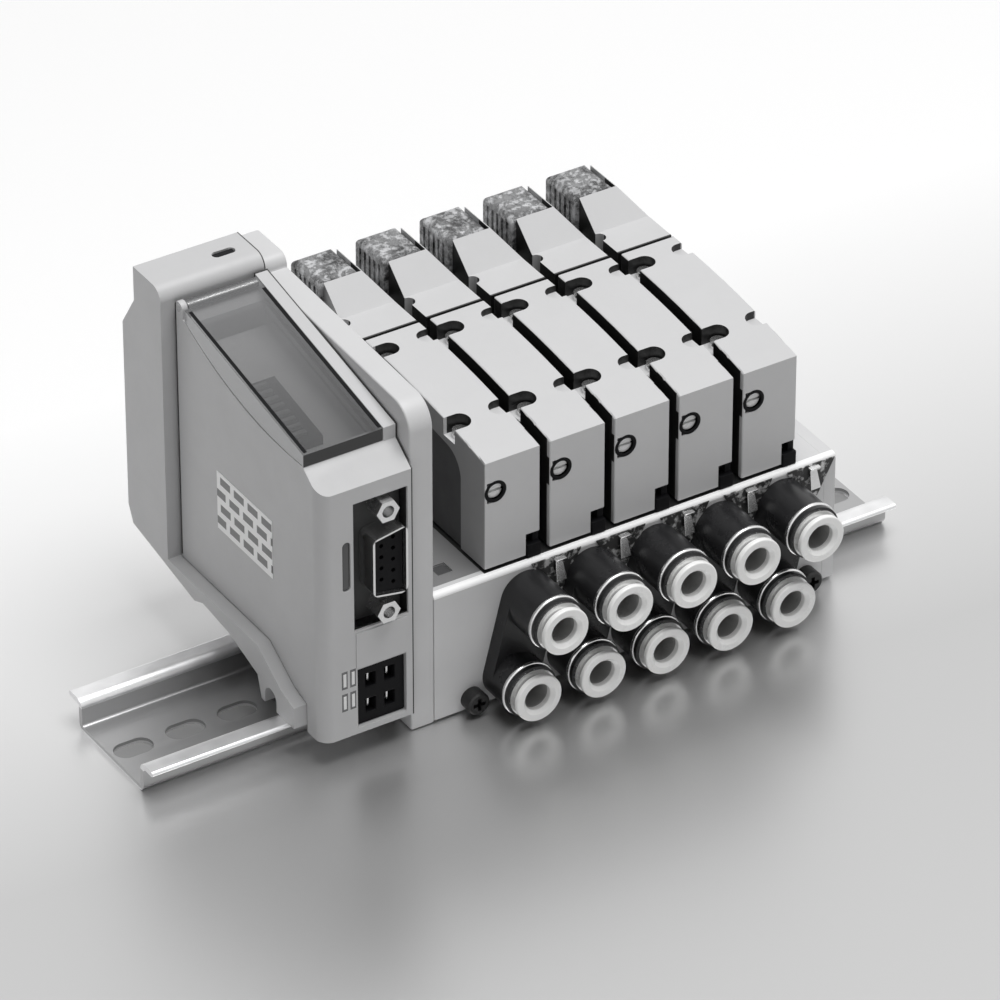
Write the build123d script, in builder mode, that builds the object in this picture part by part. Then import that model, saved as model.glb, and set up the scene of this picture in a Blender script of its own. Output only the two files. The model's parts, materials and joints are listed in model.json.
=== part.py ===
from build123d import *
from math import radians, sqrt, tan
import os

os.makedirs("parts", exist_ok=True)

# A pneumatic valve island on a length of DIN rail, in millimetres. X runs along the rail, the tube
# fittings face -Y, and Z is up. The origin is at the centre of the rail's underside.

# Clearances shared by the whole island
seam = 0.2
face_gap = 0.6
running = 0.06
screw_gap = 0.2

# Top-hat rail
rail_length = 185.5
rail_width = 35.0
rail_height = 7.5
rail_sheet = 1.25
rail_base = 27.0
rail_bend = 1.3
slot_pitch = 12.5
slot_width = 5.5
slot_length = 9.0
slot_margin = 5.25

# Manifold base with its stations side by side
station_pitch = 16.0
station_count = 5
manifold_left = -29.0
left_margin = 12.1
right_margin = 5.4
end_plate_thickness = 3.0
end_port_radius = 2.1
manifold_front = -24.5
manifold_back = 45.0
manifold_top = 32.5
manifold_edge = 1.0
skirt_bottom = 0.8
skirt_gap = 0.7
rear_underside = 16.0
rear_arm = 4.0
hook_reach = 3.1
hook_thickness = 1.4
hook_gap = 0.3

top_pocket_side = 3.6
top_pocket_depth = 2.0
top_pocket_x = -22.6
top_pocket_y = -16.9

# Air passages inside the base
gallery_radius = 3.0
gallery_height = 20.0
supply_y = 2.0
exhaust_y = 9.0
port_a_y = -4.0
port_b_y = 16.0
valve_port_radius = 1.3
passage_radius = 1.6
cross_passage_z = 13.6

# Rail clamps under the base and their screws
clamp_width = 8.0
clamp_inset_left = 9.0
clamp_inset_right = 4.4
clamp_height = 4.0
clamp_screw_z = 3.4
clamp_head_radius = 2.6
clamp_head_length = 3.4
clamp_shank_radius = 1.5
clamp_cross_width = 0.9
clamp_cross_depth = 1.6

# Tube fittings, in an upper and a lower row
tube_diameter = 6.0
tube_gap = 0.1
fitting_radius = 6.1
fitting_stagger = 2.2
upper_row_z = 24.6
lower_row_z = 7.3
upper_reach = 16.2
lower_reach = 12.8
web_depth = 3.6
plug_radius = 5.2
plug_depth = 4.5
collar_radius = 5.5
collar_flange = 1.3
collar_wall = 0.85
collar_depth = 4.2
collar_stand = 3.1
collar_travel = 1.0
collar_edge = 0.35
collar_funnel = 0.8
cartridge_wall = 1.4
guide_depth = 3.5
guide_lip = 0.5
guide_lip_overlap = 0.9
chuck_length = 1.5
chuck_claws = 8
chuck_slit = 0.5
seal_length = 2.0
seal_squeeze = 0.15
tube_stop_depth = 0.7
flow_radius = 2.2

# Spring clips that hold the fittings, in pockets of the base's front face
clip_offset = 7.6
clip_pocket_width = 5.2
clip_pocket_height = 4.4
clip_pocket_depth = 3.0
clip_pocket_drop = 0.9
clip_sheet = 0.6

# Valves
valve_gap = 2.4
gasket_thickness = 0.8
gasket_inset = 1.0
cover_front = -23.0
cover_back = 24.5
cover_corner_z = 59.6
cover_middle_y = 0.0
cover_middle_z = 62.9
cover_back_z = 64.0
cover_front_wall = 9.3
cover_top_wall = 5.5
cover_inner_radius = 6.0
cover_edge = 0.4
body_inset = 0.5
body_fit = 0.1
body_back = 25.5
mouth_depth = 5.2
mouth_height = 5.0
mouth_wall = 0.6
button_drop = 7.6
button_radius = 1.9
button_length = 4.4
button_sunk = 0.6
button_travel = 1.2
button_slot_width = 0.6
button_slot_depth = 0.7
button_edge = 0.2
button_stem_radius = 0.8
button_stem_length = 3.0
screw_y_front = -9.2
screw_y_back = 19.2
screw_mouth_depth = 3.8
screw_notch_width = 4.5
screw_notch_depth = 5.0
side_notch_depth = 3.7
side_notch_sink = 1.6
screw_head_radius = 1.8
screw_head_height = 1.6
screw_shank_radius = 1.0
screw_slot_width = 0.6
screw_slot_depth = 0.7
screw_engagement = 6.0
corner_notch_width = 3.5
corner_notch_height = 5.2
corner_notch_depth = 2.4

# Spools inside the valve bodies
spool_radius = 2.7
spool_groove_radius = 1.7
spool_length = 30.0
spool_travel = 2.0
spool_land = 3.6
spool_lands = 4
spool_offset = 0.6
spool_height = 44.0

# Pilot caps behind the valves, with their coils and smoked connector covers
cap_back = 51.0
cap_height = 63.7
cap_rise_front = 34.6
cap_notch_y = 33.0
cap_notch_radius = 1.5
coil_radius = 4.0
coil_length = 13.0
coil_height = 44.0
coil_flange = 1.0
coil_plunger_radius = 1.5
smoke_left = 1.0
smoke_width = 10.0
smoke_front = 41.2
smoke_back = 52.8
smoke_bottom = 46.0
smoke_top = 69.4
smoke_wall = 1.2
smoke_lug_bottom = 59.0
smoke_lug_radius = 3.0
smoke_crown = 1.6
rib_count = 5
rib_depth = 0.35
rib_width = 0.9

# Adapter plate between the base and the interface unit
adapter_thickness = 5.7
adapter_bottom = 0.3
adapter_front_z = 80.0
adapter_rear_z = 82.2
adapter_front_radius = 6.0
adapter_hump_y = 33.0
adapter_hump_drop = 2.1
adapter_hump_radius = 2.5
adapter_back_radius = 5.0

# Interface unit: rear housing with its foot
unit_width = 25.3
housing_width = 22.2
rear_front = 32.0
rear_top_z = 87.3
rear_top_back = 43.3
rear_step_drop = 8.3
rear_step_rise = 8.0
rear_back = 48.5
rear_corner_z = 25.0
rear_bottom_z = 21.0
rear_corner_cut = 1.9
foot_heel_y = 21.0
foot_heel_z = 16.0
foot_crest_length = 3.5
foot_crest_rise = 1.4
foot_sole_length = 14.3
foot_sole_rise = 0.2
arch_y = -10.2
arch_width = 4.6
arch_top = 12.0
arch_leg_top = 12.7
arch_leg_near = 3.8
arch_leg_far = 5.3
beam_top = 20.2
beam_front = -19.6
beam_nose_length = 5.0
beam_nose_drop = 6.0
beam_nose_step = 1.5
beam_shoulder_length = 14.7
foot_block_width = 14.0
foot_block_inset = 2.0
foot_block_front = 9.0
foot_block_top = 17.0
top_slot_length = 5.4
top_slot_width = 2.2
top_slot_depth = 2.0
top_slot_y = 38.0
top_slot_inset = 6.6
rear_edge = 0.8
rear_brow_radius = 3.2

# Interface unit: front housing, a shell open under its window
housing_front = -26.0
housing_bottom = 5.8
housing_wall = 1.2
housing_corner = 3.0
brow_z = 67.3
window_front = -19.5
window_front_z = 74.9
window_slope = 10.9
window_thickness = 2.6
window_lip = 0.5
window_gap = 0.3
rim_step = 1.0
right_rim = 3.2
hinge_y = 29.9
hinge_radius = 0.8
hinge_ear = 1.4
hinge_ear_radius = 1.6
hinge_ear_length = 2.4
skirt_depth = 3.0
skirt_deepest_y = 9.0
skirt_wall = 1.2
window_range = 85.0

# Interface unit: boards under the window
board_thickness = 1.6
board_drop = 5.0
board_gap = 0.3
board_front = -16.5
board_back = 26.5
switch_width = 8.8
switch_length = 19.4
switch_height = 2.2
switch_front = -9.4
switch_inset = 1.0
main_board_x = -45.0
main_board_back = 25.0

# Interface unit: bus connector, power plug and indicators on the front
bus_z = 47.6
bus_opening_width = 13.0
bus_opening_height = 31.6
bus_flange_width = 11.0
bus_flange_height = 30.8
bus_flange_thickness = 0.8
bus_recess = 3.0
bus_body_depth = 8.0
shell_long = 16.9
shell_angle = 80.0
shell_width = 8.4
shell_wall = 0.5
shell_height = 5.6
shell_corner = 1.6
pin_face_drop = 1.4
pin_pitch_x = 2.84
pin_pitch_z = 2.77
pin_radius = 0.5
pin_depth = 3.0
jack_pitch = 25.0
jack_flats = 4.75
jack_height = 4.8
jack_bore_radius = 1.4
power_width = 11.8
power_top = 22.0
power_bottom = 7.3
power_sunk = 0.8
power_depth = 4.8
power_contact_width = 2.4
power_contact_height = 3.4
power_contact_pitch_x = 4.6
power_contact_pitch_z = 6.4
power_contact_depth = 2.5
indicator_width = 1.4
indicator_height = 4.4
indicator_depth = 0.9
indicator_pitch_x = 2.0
indicator_pitch_z = 5.6
indicator_x = -50.6
indicator_z = 17.6
label_slot_width = 1.9
label_slot_height = 12.2
label_slot_x = -50.8
label_slot_z = 48.5
label_slot_depth = 0.9

# Places worked out from the sizes
rail_slots = int((rail_length - 2 * slot_margin) / slot_pitch + 0.001) + 1
lip_y = rail_width / 2
wall_y = rail_base / 2
stations_left = manifold_left + left_margin
manifold_right = stations_left + station_pitch * station_count + right_margin
skirt_back = -(lip_y + skirt_gap)
valve_width = station_pitch - valve_gap
valve_bottom = manifold_top + gasket_thickness
station_centres = [stations_left + station_pitch * (k + 0.5) for k in range(station_count)]
upper_places = [(x + fitting_stagger, upper_row_z) for x in station_centres]
lower_places = [(x - fitting_stagger, lower_row_z) for x in station_centres]
collar_bore = tube_diameter / 2 + tube_gap
collar_outer = collar_bore + collar_wall
cartridge_radius = fitting_radius - cartridge_wall
adapter_left = manifold_left - adapter_thickness
unit_right = adapter_left - seam
unit_left = unit_right - unit_width
housing_left = unit_right - housing_width
window_right = unit_right - right_rim
opening_x = unit_right - housing_wall - bus_opening_width / 2
bus_x = unit_right - housing_wall - seam - bus_flange_width / 2
slope = tan(radians(window_slope))
screw_inset = screw_notch_depth - screw_notch_width / 2
clamp_places = [manifold_left + clamp_inset_left, manifold_right - clamp_inset_right]


def front_plane(y):
    """Plane facing the viewer of the fittings, with X to the right and Z up."""
    return Plane.XZ.offset(-y)


def side_plane(x):
    """Plane across the rail, with Y to the right and Z up."""
    return Plane.YZ.offset(x)


def window_z(y, below=0.0):
    """Height of the sloping window's top face at y, or of a face parallel to it."""
    return window_front_z + (y - window_front) * slope - below


def valve_ports(x):
    """Places of the four air ports under the valve at x."""
    return [
        (x + fitting_stagger, port_a_y),
        (x, supply_y),
        (x, exhaust_y),
        (x - fitting_stagger, port_b_y),
    ]


def valve_screw_places(x):
    """Places of the two screws of the valve at x."""
    return [(x - valve_width / 2 + screw_inset, y) for y in (screw_y_front, screw_y_back)]


def button_place(x):
    """Place of the override button in the front of the valve at x."""
    return (x - valve_width / 2 + mouth_depth - mouth_height / 2, cover_corner_z - button_drop)


def save(piece, label):
    """Label a finished piece and write it as its own STEP file."""
    piece.label = label
    export_step(piece, "parts/" + label + ".step")


# Rail: one sheet folded about its centre line, slotted along the base
with BuildPart() as din_rail:
    with BuildSketch(side_plane(-rail_length / 2)):
        with BuildLine():
            FilletPolyline(
                (-lip_y + rail_sheet / 2, rail_height - rail_sheet / 2),
                (-wall_y + rail_sheet / 2, rail_height - rail_sheet / 2),
                (-wall_y + rail_sheet / 2, rail_sheet / 2),
                (wall_y - rail_sheet / 2, rail_sheet / 2),
                (wall_y - rail_sheet / 2, rail_height - rail_sheet / 2),
                (lip_y - rail_sheet / 2, rail_height - rail_sheet / 2),
                radius=rail_bend,
            )
            offset(amount=rail_sheet / 2, side=Side.BOTH)
        make_face()
    extrude(amount=rail_length)
    with BuildSketch(Plane.XY):
        with GridLocations(slot_pitch, 0, rail_slots, 1):
            SlotOverall(slot_length, slot_width)
    extrude(amount=rail_sheet, mode=Mode.SUBTRACT)
save(din_rail.part, "din_rail")


# Outline of the base and its end plate: a front skirt ahead of the rail and an arm behind it
hook_top = rail_height - rail_sheet - hook_gap
base_outline = [
    (manifold_front, skirt_bottom),
    (manifold_front, manifold_top),
    (manifold_back, manifold_top),
    (manifold_back, rear_underside),
    (lip_y + hook_gap + rear_arm, rear_underside),
    (lip_y + hook_gap + rear_arm, hook_top - hook_thickness),
    (lip_y - hook_reach, hook_top - hook_thickness),
    (lip_y - hook_reach, hook_top),
    (lip_y + hook_gap, hook_top),
    (lip_y + hook_gap, rail_height),
    (skirt_back, rail_height),
    (skirt_back, skirt_bottom),
]

with BuildPart() as manifold_base:
    with BuildSketch(side_plane(manifold_left)) as base_section:
        with BuildLine():
            Polyline(*base_outline, close=True)
        make_face()
        fillet(base_section.vertices().group_by(Axis.Y)[-1].sort_by(Axis.X)[0], manifold_edge)
    extrude(amount=manifold_right - manifold_left)
    # Sockets for the fittings and passages A and B behind them
    with BuildSketch(front_plane(manifold_front)):
        with Locations(*upper_places, *lower_places):
            Circle(plug_radius + screw_gap / 2)
    extrude(amount=-plug_depth - screw_gap, mode=Mode.SUBTRACT)
    with BuildSketch(front_plane(manifold_front)):
        with Locations(*upper_places):
            Circle(passage_radius)
    extrude(amount=-(port_a_y - manifold_front), mode=Mode.SUBTRACT)
    with BuildSketch(Plane.XY.offset(manifold_top)):
        with Locations(*[(x, port_a_y) for x, z in upper_places]):
            Circle(valve_port_radius)
    extrude(amount=-(manifold_top - upper_row_z), mode=Mode.SUBTRACT)
    skirt_passage_y = manifold_front + plug_depth / 2 - passage_radius / 2
    with BuildSketch(front_plane(skirt_passage_y)):
        with Locations(*[(x, cross_passage_z) for x, z in lower_places]):
            Circle(passage_radius)
    extrude(amount=-(port_b_y - skirt_passage_y), mode=Mode.SUBTRACT)
    with BuildSketch(Plane.XY.offset(cross_passage_z)):
        with Locations(*[(x, skirt_passage_y) for x, z in lower_places]):
            Circle(passage_radius)
    extrude(amount=-(cross_passage_z - lower_row_z), mode=Mode.SUBTRACT)
    with BuildSketch(Plane.XY.offset(manifold_top)):
        with Locations(*[(x, port_b_y) for x, z in lower_places]):
            Circle(valve_port_radius)
    extrude(amount=-(manifold_top - cross_passage_z), mode=Mode.SUBTRACT)
    # Supply and exhaust galleries along the base, each open to every valve above it
    with BuildSketch(side_plane(manifold_left)):
        with Locations((supply_y, gallery_height), (exhaust_y, gallery_height)):
            Circle(gallery_radius)
    extrude(amount=manifold_right - manifold_left, mode=Mode.SUBTRACT)
    with BuildSketch(Plane.XY.offset(manifold_top)):
        with Locations(*[(x, y) for x in station_centres for y in (supply_y, exhaust_y)]):
            Circle(valve_port_radius)
    extrude(amount=-(manifold_top - gallery_height), mode=Mode.SUBTRACT)
    # Small pocket in the top between the adapter plate and the first valve
    with BuildSketch(Plane.XY.offset(manifold_top)):
        with Locations((top_pocket_x, top_pocket_y)):
            Rectangle(top_pocket_side, top_pocket_side)
    extrude(amount=-top_pocket_depth, mode=Mode.SUBTRACT)
    # Pockets for the fitting clips, just under the top edge
    clip_z = manifold_top - clip_pocket_drop - clip_pocket_height / 2
    clip_places = [(x + clip_offset, clip_z) for x, z in upper_places]
    with BuildSketch(front_plane(manifold_front)):
        with Locations(*clip_places):
            Rectangle(clip_pocket_width, clip_pocket_height)
    extrude(amount=-clip_pocket_depth, mode=Mode.SUBTRACT)
    # Threaded seats of the valve screws and clearance holes of the clamp screws
    with BuildSketch(Plane.XY.offset(manifold_top)):
        with Locations(*[place for x in station_centres for place in valve_screw_places(x)]):
            Circle(screw_shank_radius + running)
    extrude(amount=-screw_engagement - screw_gap, mode=Mode.SUBTRACT)
    with BuildSketch(front_plane(manifold_front)):
        with Locations(*[(x, clamp_screw_z) for x in clamp_places]):
            Circle(clamp_shank_radius + screw_gap)
    extrude(amount=-(skirt_back - manifold_front), mode=Mode.SUBTRACT)
save(manifold_base.part, "manifold_base")


# End plate that closes the galleries on the right
with BuildPart() as end_plate:
    with BuildSketch(side_plane(manifold_right)) as end_section:
        with BuildLine():
            Polyline(*base_outline, close=True)
        make_face()
        fillet(end_section.vertices().group_by(Axis.Y)[-1].sort_by(Axis.X)[0], manifold_edge)
    extrude(amount=end_plate_thickness)
    with BuildSketch(side_plane(manifold_right)):
        with Locations((supply_y, gallery_height), (exhaust_y, gallery_height)):
            Circle(end_port_radius)
    extrude(amount=end_plate_thickness, mode=Mode.SUBTRACT)
save(end_plate.part, "end_plate")


# Clamp blocks that grip the front of the rail from below, pulled up by the clamp screws
with BuildPart() as rail_clamps:
    with BuildSketch(front_plane(skirt_back + seam)):
        with Locations(*[(x, hook_top - clamp_height / 2) for x in clamp_places]):
            Rectangle(clamp_width, clamp_height)
    extrude(amount=-(lip_y - wall_y + skirt_gap - 2 * seam))
    with BuildSketch(front_plane(skirt_back + seam)):
        with Locations(*[(x, clamp_screw_z) for x in clamp_places]):
            Circle(clamp_shank_radius + running)
    extrude(amount=-(lip_y - wall_y + skirt_gap), mode=Mode.SUBTRACT)
save(rail_clamps.part, "rail_clamps")

with BuildPart() as clamp_screws:
    with BuildSketch(front_plane(manifold_front)):
        with Locations(*[(x, clamp_screw_z) for x in clamp_places]):
            Circle(clamp_head_radius)
    extrude(amount=clamp_head_length)
    chamfer(clamp_screws.faces().sort_by(Axis.Y)[:2].edges(), collar_edge)
    with BuildSketch(front_plane(manifold_front)):
        with Locations(*[(x, clamp_screw_z) for x in clamp_places]):
            Circle(clamp_shank_radius)
    extrude(amount=-(-wall_y - manifold_front - 2 * seam))
    with BuildSketch(front_plane(manifold_front - clamp_head_length)):
        with Locations(*[(x, clamp_screw_z) for x in clamp_places]):
            Rectangle(2 * clamp_shank_radius, clamp_cross_width)
            Rectangle(clamp_cross_width, 2 * clamp_shank_radius)
    extrude(amount=-clamp_cross_depth, mode=Mode.SUBTRACT)
save(clamp_screws.part, "clamp_screws")


# Port blocks: an upper and a lower fitting body moulded on one web, plugged into the base
upper_mouth = upper_reach - collar_stand
lower_mouth = lower_reach - collar_stand
cartridge_depth = collar_depth + collar_travel + seam + chuck_length + seal_length
with BuildPart() as port_blocks:
    for upper, lower in zip(upper_places, lower_places):
        with BuildSketch(front_plane(manifold_front)):
            with Locations(upper, lower):
                Circle(fitting_radius)
            make_hull()
        extrude(amount=web_depth)
    for places, mouth in ((upper_places, upper_mouth), (lower_places, lower_mouth)):
        with BuildSketch(front_plane(manifold_front)):
            with Locations(*places):
                Circle(fitting_radius)
        extrude(amount=mouth)
        with BuildSketch(front_plane(manifold_front)):
            with Locations(*places):
                Circle(plug_radius)
        extrude(amount=-plug_depth)
        with BuildSketch(front_plane(manifold_front - mouth)):
            with Locations(*places):
                Circle(cartridge_radius)
        extrude(amount=-cartridge_depth, mode=Mode.SUBTRACT)
        with BuildSketch(front_plane(manifold_front - mouth)):
            with Locations(*places):
                Circle(collar_bore)
        extrude(amount=-cartridge_depth - tube_stop_depth, mode=Mode.SUBTRACT)
        with BuildSketch(front_plane(manifold_front - mouth)):
            with Locations(*places):
                Circle(flow_radius)
        extrude(amount=-mouth - plug_depth, mode=Mode.SUBTRACT)
save(port_blocks.part, "port_blocks")


def fitting_mouths():
    """Plane of each fitting's mouth with the place of its axis, upper row first."""
    rows = ((upper_places, upper_mouth), (lower_places, lower_mouth))
    return [(front_plane(manifold_front - mouth), place) for places, mouth in rows for place in places]


# Guide rings that line the mouths, chucks that grip the tube, and seals behind them
with BuildPart() as guide_rings:
    for mouth_plane, place in fitting_mouths():
        with BuildSketch(mouth_plane):
            with Locations(place):
                Circle(cartridge_radius + guide_lip_overlap)
                Circle(collar_outer + running, mode=Mode.SUBTRACT)
        extrude(amount=guide_lip)
        with BuildSketch(mouth_plane):
            with Locations(place):
                Circle(cartridge_radius)
                Circle(collar_outer + running, mode=Mode.SUBTRACT)
        extrude(amount=-guide_depth)
save(guide_rings.part, "guide_rings")

chuck_front = cartridge_depth - seal_length - chuck_length
with BuildPart() as tube_chucks:
    for mouth_plane, place in fitting_mouths():
        with BuildSketch(mouth_plane.offset(-chuck_front)):
            with Locations(place):
                Circle(cartridge_radius)
                Circle(collar_bore, mode=Mode.SUBTRACT)
                with PolarLocations(collar_bore, chuck_claws):
                    Rectangle(collar_wall, chuck_slit, mode=Mode.SUBTRACT)
        extrude(amount=-chuck_length)
save(tube_chucks.part, "tube_chucks")

with BuildPart() as tube_seals:
    for mouth_plane, place in fitting_mouths():
        with BuildSketch(mouth_plane.offset(-chuck_front - chuck_length)):
            with Locations(place):
                Circle(cartridge_radius)
                Circle(collar_bore - seal_squeeze, mode=Mode.SUBTRACT)
        extrude(amount=-seal_length)
save(tube_seals.part, "tube_seals")


def release_collar(mouth_plane, place):
    """White release collar: a flange to press on and a sleeve that opens the chuck."""
    with BuildPart() as collar:
        with BuildSketch(mouth_plane.offset(collar_stand)):
            with Locations(place):
                Circle(collar_radius)
        extrude(amount=-collar_flange)
        fillet(collar.edges().filter_by(GeomType.CIRCLE), collar_edge)
        with BuildSketch(mouth_plane.offset(collar_stand - collar_flange)):
            with Locations(place):
                Circle(collar_outer)
        extrude(amount=-(collar_stand - collar_flange + collar_depth))
        with BuildSketch(mouth_plane.offset(collar_stand)):
            with Locations(place):
                Circle(collar_bore)
        extrude(amount=-collar_stand - collar_depth, mode=Mode.SUBTRACT)
        chamfer(collar.edges().filter_by(GeomType.CIRCLE).group_by(Axis.Y)[0].sort_by(SortBy.RADIUS)[0],
                collar_funnel)
    return collar.part


for index, (mouth_plane, place) in enumerate(fitting_mouths()):
    row = "upper" if index < station_count else "lower"
    save(release_collar(mouth_plane, place), f"release_collar_{row}_{index % station_count + 1}")


# Spring clips in the pockets beside the upper fittings
with BuildPart() as fitting_clips:
    with BuildSketch(Plane.XY.offset(clip_z - clip_pocket_height / 2)):
        for x, z in clip_places:
            with Locations((x, manifold_front + clip_pocket_depth / 2)):
                Rectangle(clip_pocket_width, clip_pocket_depth)
                with Locations((0, -clip_sheet)):
                    Rectangle(clip_pocket_width - 2 * clip_sheet, clip_pocket_depth, mode=Mode.SUBTRACT)
    extrude(amount=clip_pocket_height)
save(fitting_clips.part, "fitting_clips")


crown = ThreePointArc(
    (cover_front, cover_corner_z), (cover_middle_y, cover_middle_z), (cover_back, cover_back_z)
)


def crown_z(y):
    """Height of the crowned top line of the valve covers at y."""
    return crown.arc_center.Y + sqrt(crown.radius**2 - (y - crown.arc_center.X) ** 2)


def crown_arc(drop, back):
    """The crowned top line, lowered by drop and ended at back."""
    return ThreePointArc(
        (cover_front, cover_corner_z - drop),
        (cover_middle_y, cover_middle_z - drop),
        (back, crown_z(back) - drop),
    )


def valve_cover(x):
    """Pale cover that wraps the front and top of a valve, with mouths for button and screws."""
    left = x - valve_width / 2
    right = x + valve_width / 2
    with BuildPart() as cover:
        with BuildSketch(side_plane(left)):
            with BuildLine():
                top = crown_arc(0, cover_back)
                Polyline(top @ 0, (cover_front, valve_bottom), (cover_back, valve_bottom), top @ 1)
            make_face()
        extrude(amount=valve_width)
        fillet(cover.faces().filter_by(Axis.X).edges().filter_by_position(
            Axis.Z, valve_bottom + cover_edge, cover_back_z + cover_edge), cover_edge)
        # Space of the valve body under the cover
        with BuildSketch(side_plane(left)) as hollow:
            with BuildLine():
                under = crown_arc(cover_top_wall, cover_back)
                Polyline(under @ 0, (cover_front, valve_bottom), (cover_back, valve_bottom), under @ 1)
            make_face()
            with Locations((cover_front, valve_bottom)):
                Rectangle(cover_front_wall, cover_back_z, align=(Align.MIN, Align.MIN), mode=Mode.SUBTRACT)
            fillet(hollow.vertices().group_by(Axis.X)[0].sort_by(Axis.Y)[-1], cover_inner_radius)
        extrude(amount=valve_width, mode=Mode.SUBTRACT)
        # Mouth of the manual override in the front, round on the right
        with BuildSketch(front_plane(cover_front)):
            with Locations(button_place(x)):
                Circle(mouth_height / 2)
                Rectangle(mouth_depth - mouth_wall - mouth_height / 2, mouth_height,
                          align=(Align.MAX, Align.CENTER))
        extrude(amount=-button_sunk - button_length - button_travel - seam, mode=Mode.SUBTRACT)
        with BuildSketch(front_plane(cover_front)):
            with Locations(button_place(x)):
                Circle(button_stem_radius + running)
        extrude(amount=-cover_front_wall, mode=Mode.SUBTRACT)
        # Mouths of the two screws on the left and shallow grips opposite them
        for y in (screw_y_front, screw_y_back):
            with BuildSketch(Plane.XY.offset(crown_z(y) - screw_mouth_depth)):
                with Locations((left, y)):
                    SlotOverall(2 * screw_notch_depth, screw_notch_width)
            extrude(amount=screw_mouth_depth + face_gap, mode=Mode.SUBTRACT)
            with BuildSketch(Plane.XY.offset(crown_z(y) - screw_mouth_depth)):
                with Locations((left + screw_inset, y)):
                    Circle(screw_shank_radius + screw_gap)
            extrude(amount=-cover_top_wall, mode=Mode.SUBTRACT)
            with BuildSketch(Plane.XY.offset(crown_z(y) - side_notch_sink)):
                with Locations((right, y)):
                    SlotOverall(2 * side_notch_depth, screw_notch_width)
            extrude(amount=side_notch_sink + face_gap, mode=Mode.SUBTRACT)
        # Step at the lower right corner, over the latch of the base
        with BuildSketch(front_plane(cover_front)):
            with Locations((right, valve_bottom)):
                Rectangle(2 * corner_notch_width, 2 * corner_notch_height)
        extrude(amount=-corner_notch_depth, mode=Mode.SUBTRACT)
    return cover.part


for k, x in enumerate(station_centres):
    save(valve_cover(x), f"valve_cover_{k + 1}")


def valve_body(x):
    """Dark body of a valve: the spool's bore, the air ports below it and the screw holes."""
    body_front = cover_front + cover_front_wall + body_fit
    with BuildPart() as body:
        with BuildSketch(side_plane(x - valve_width / 2 + body_inset)) as section:
            with BuildLine():
                top = crown_arc(cover_top_wall + body_fit, body_back)
                Polyline(top @ 0, (cover_front, valve_bottom), (body_back, valve_bottom), top @ 1)
            make_face()
            with Locations((cover_front, valve_bottom)):
                Rectangle(body_front - cover_front, cover_back_z, align=(Align.MIN, Align.MIN),
                          mode=Mode.SUBTRACT)
            fillet(section.vertices().group_by(Axis.X)[0].sort_by(Axis.Y)[-1], cover_inner_radius)
        extrude(amount=valve_width - 2 * body_inset)
        with BuildSketch(front_plane(body_front)):
            with Locations((x + spool_offset, spool_height)):
                Circle(spool_radius + running)
        extrude(amount=-(body_back - body_front), mode=Mode.SUBTRACT)
        with BuildSketch(Plane.XY.offset(valve_bottom)):
            with Locations(*valve_ports(x)):
                Circle(valve_port_radius)
        extrude(amount=spool_height - valve_bottom, mode=Mode.SUBTRACT)
        with BuildSketch(Plane.XY.offset(valve_bottom)):
            with Locations(*valve_screw_places(x)):
                Circle(screw_shank_radius + screw_gap)
        extrude(amount=cover_back_z - valve_bottom, mode=Mode.SUBTRACT)
    return body.part


def spool(x):
    """Spool with its lands and grooves, at its rest position next to the pilot cap."""
    back = body_back - spool_travel - seam
    groove = (spool_length - spool_lands * spool_land) / (spool_lands - 1)
    with BuildPart() as piece:
        with BuildSketch(front_plane(back)):
            with Locations((x + spool_offset, spool_height)):
                Circle(spool_groove_radius)
        extrude(amount=spool_length)
        for land in range(spool_lands):
            with BuildSketch(front_plane(back - land * (spool_land + groove))):
                with Locations((x + spool_offset, spool_height)):
                    Circle(spool_radius)
            extrude(amount=spool_land)
    return piece.part


def override_button(x):
    """Slotted manual override button with its guide stem."""
    place = button_place(x)
    with BuildPart() as button:
        with BuildSketch(front_plane(cover_front + button_sunk)):
            with Locations(place):
                Circle(button_radius)
        extrude(amount=-button_length)
        fillet(button.edges().filter_by(GeomType.CIRCLE).sort_by(Axis.Y)[0], button_edge)
        with BuildSketch(front_plane(cover_front + button_sunk)):
            with Locations(place):
                Rectangle(2 * button_radius, button_slot_width)
        extrude(amount=-button_slot_depth, mode=Mode.SUBTRACT)
        with BuildSketch(front_plane(cover_front + button_sunk + button_length)):
            with Locations(place):
                Circle(button_stem_radius)
        extrude(amount=-button_stem_length)
    return button.part


for k, x in enumerate(station_centres):
    save(valve_body(x), f"valve_body_{k + 1}")
    save(spool(x), f"spool_{k + 1}")
    save(override_button(x), f"override_button_{k + 1}")


# Gaskets between the valves and the base
with BuildPart() as valve_gaskets:
    with BuildSketch(Plane.XY.offset(manifold_top)):
        for x in station_centres:
            with Locations((x, cover_front + gasket_inset)):
                Rectangle(valve_width - 2 * gasket_inset, manifold_back - cover_front - 2 * gasket_inset,
                          align=(Align.CENTER, Align.MIN))
            with Locations(*valve_ports(x)):
                Circle(valve_port_radius, mode=Mode.SUBTRACT)
            with Locations(*valve_screw_places(x)):
                Circle(screw_shank_radius + screw_gap, mode=Mode.SUBTRACT)
    extrude(amount=gasket_thickness)
save(valve_gaskets.part, "valve_gaskets")


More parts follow.
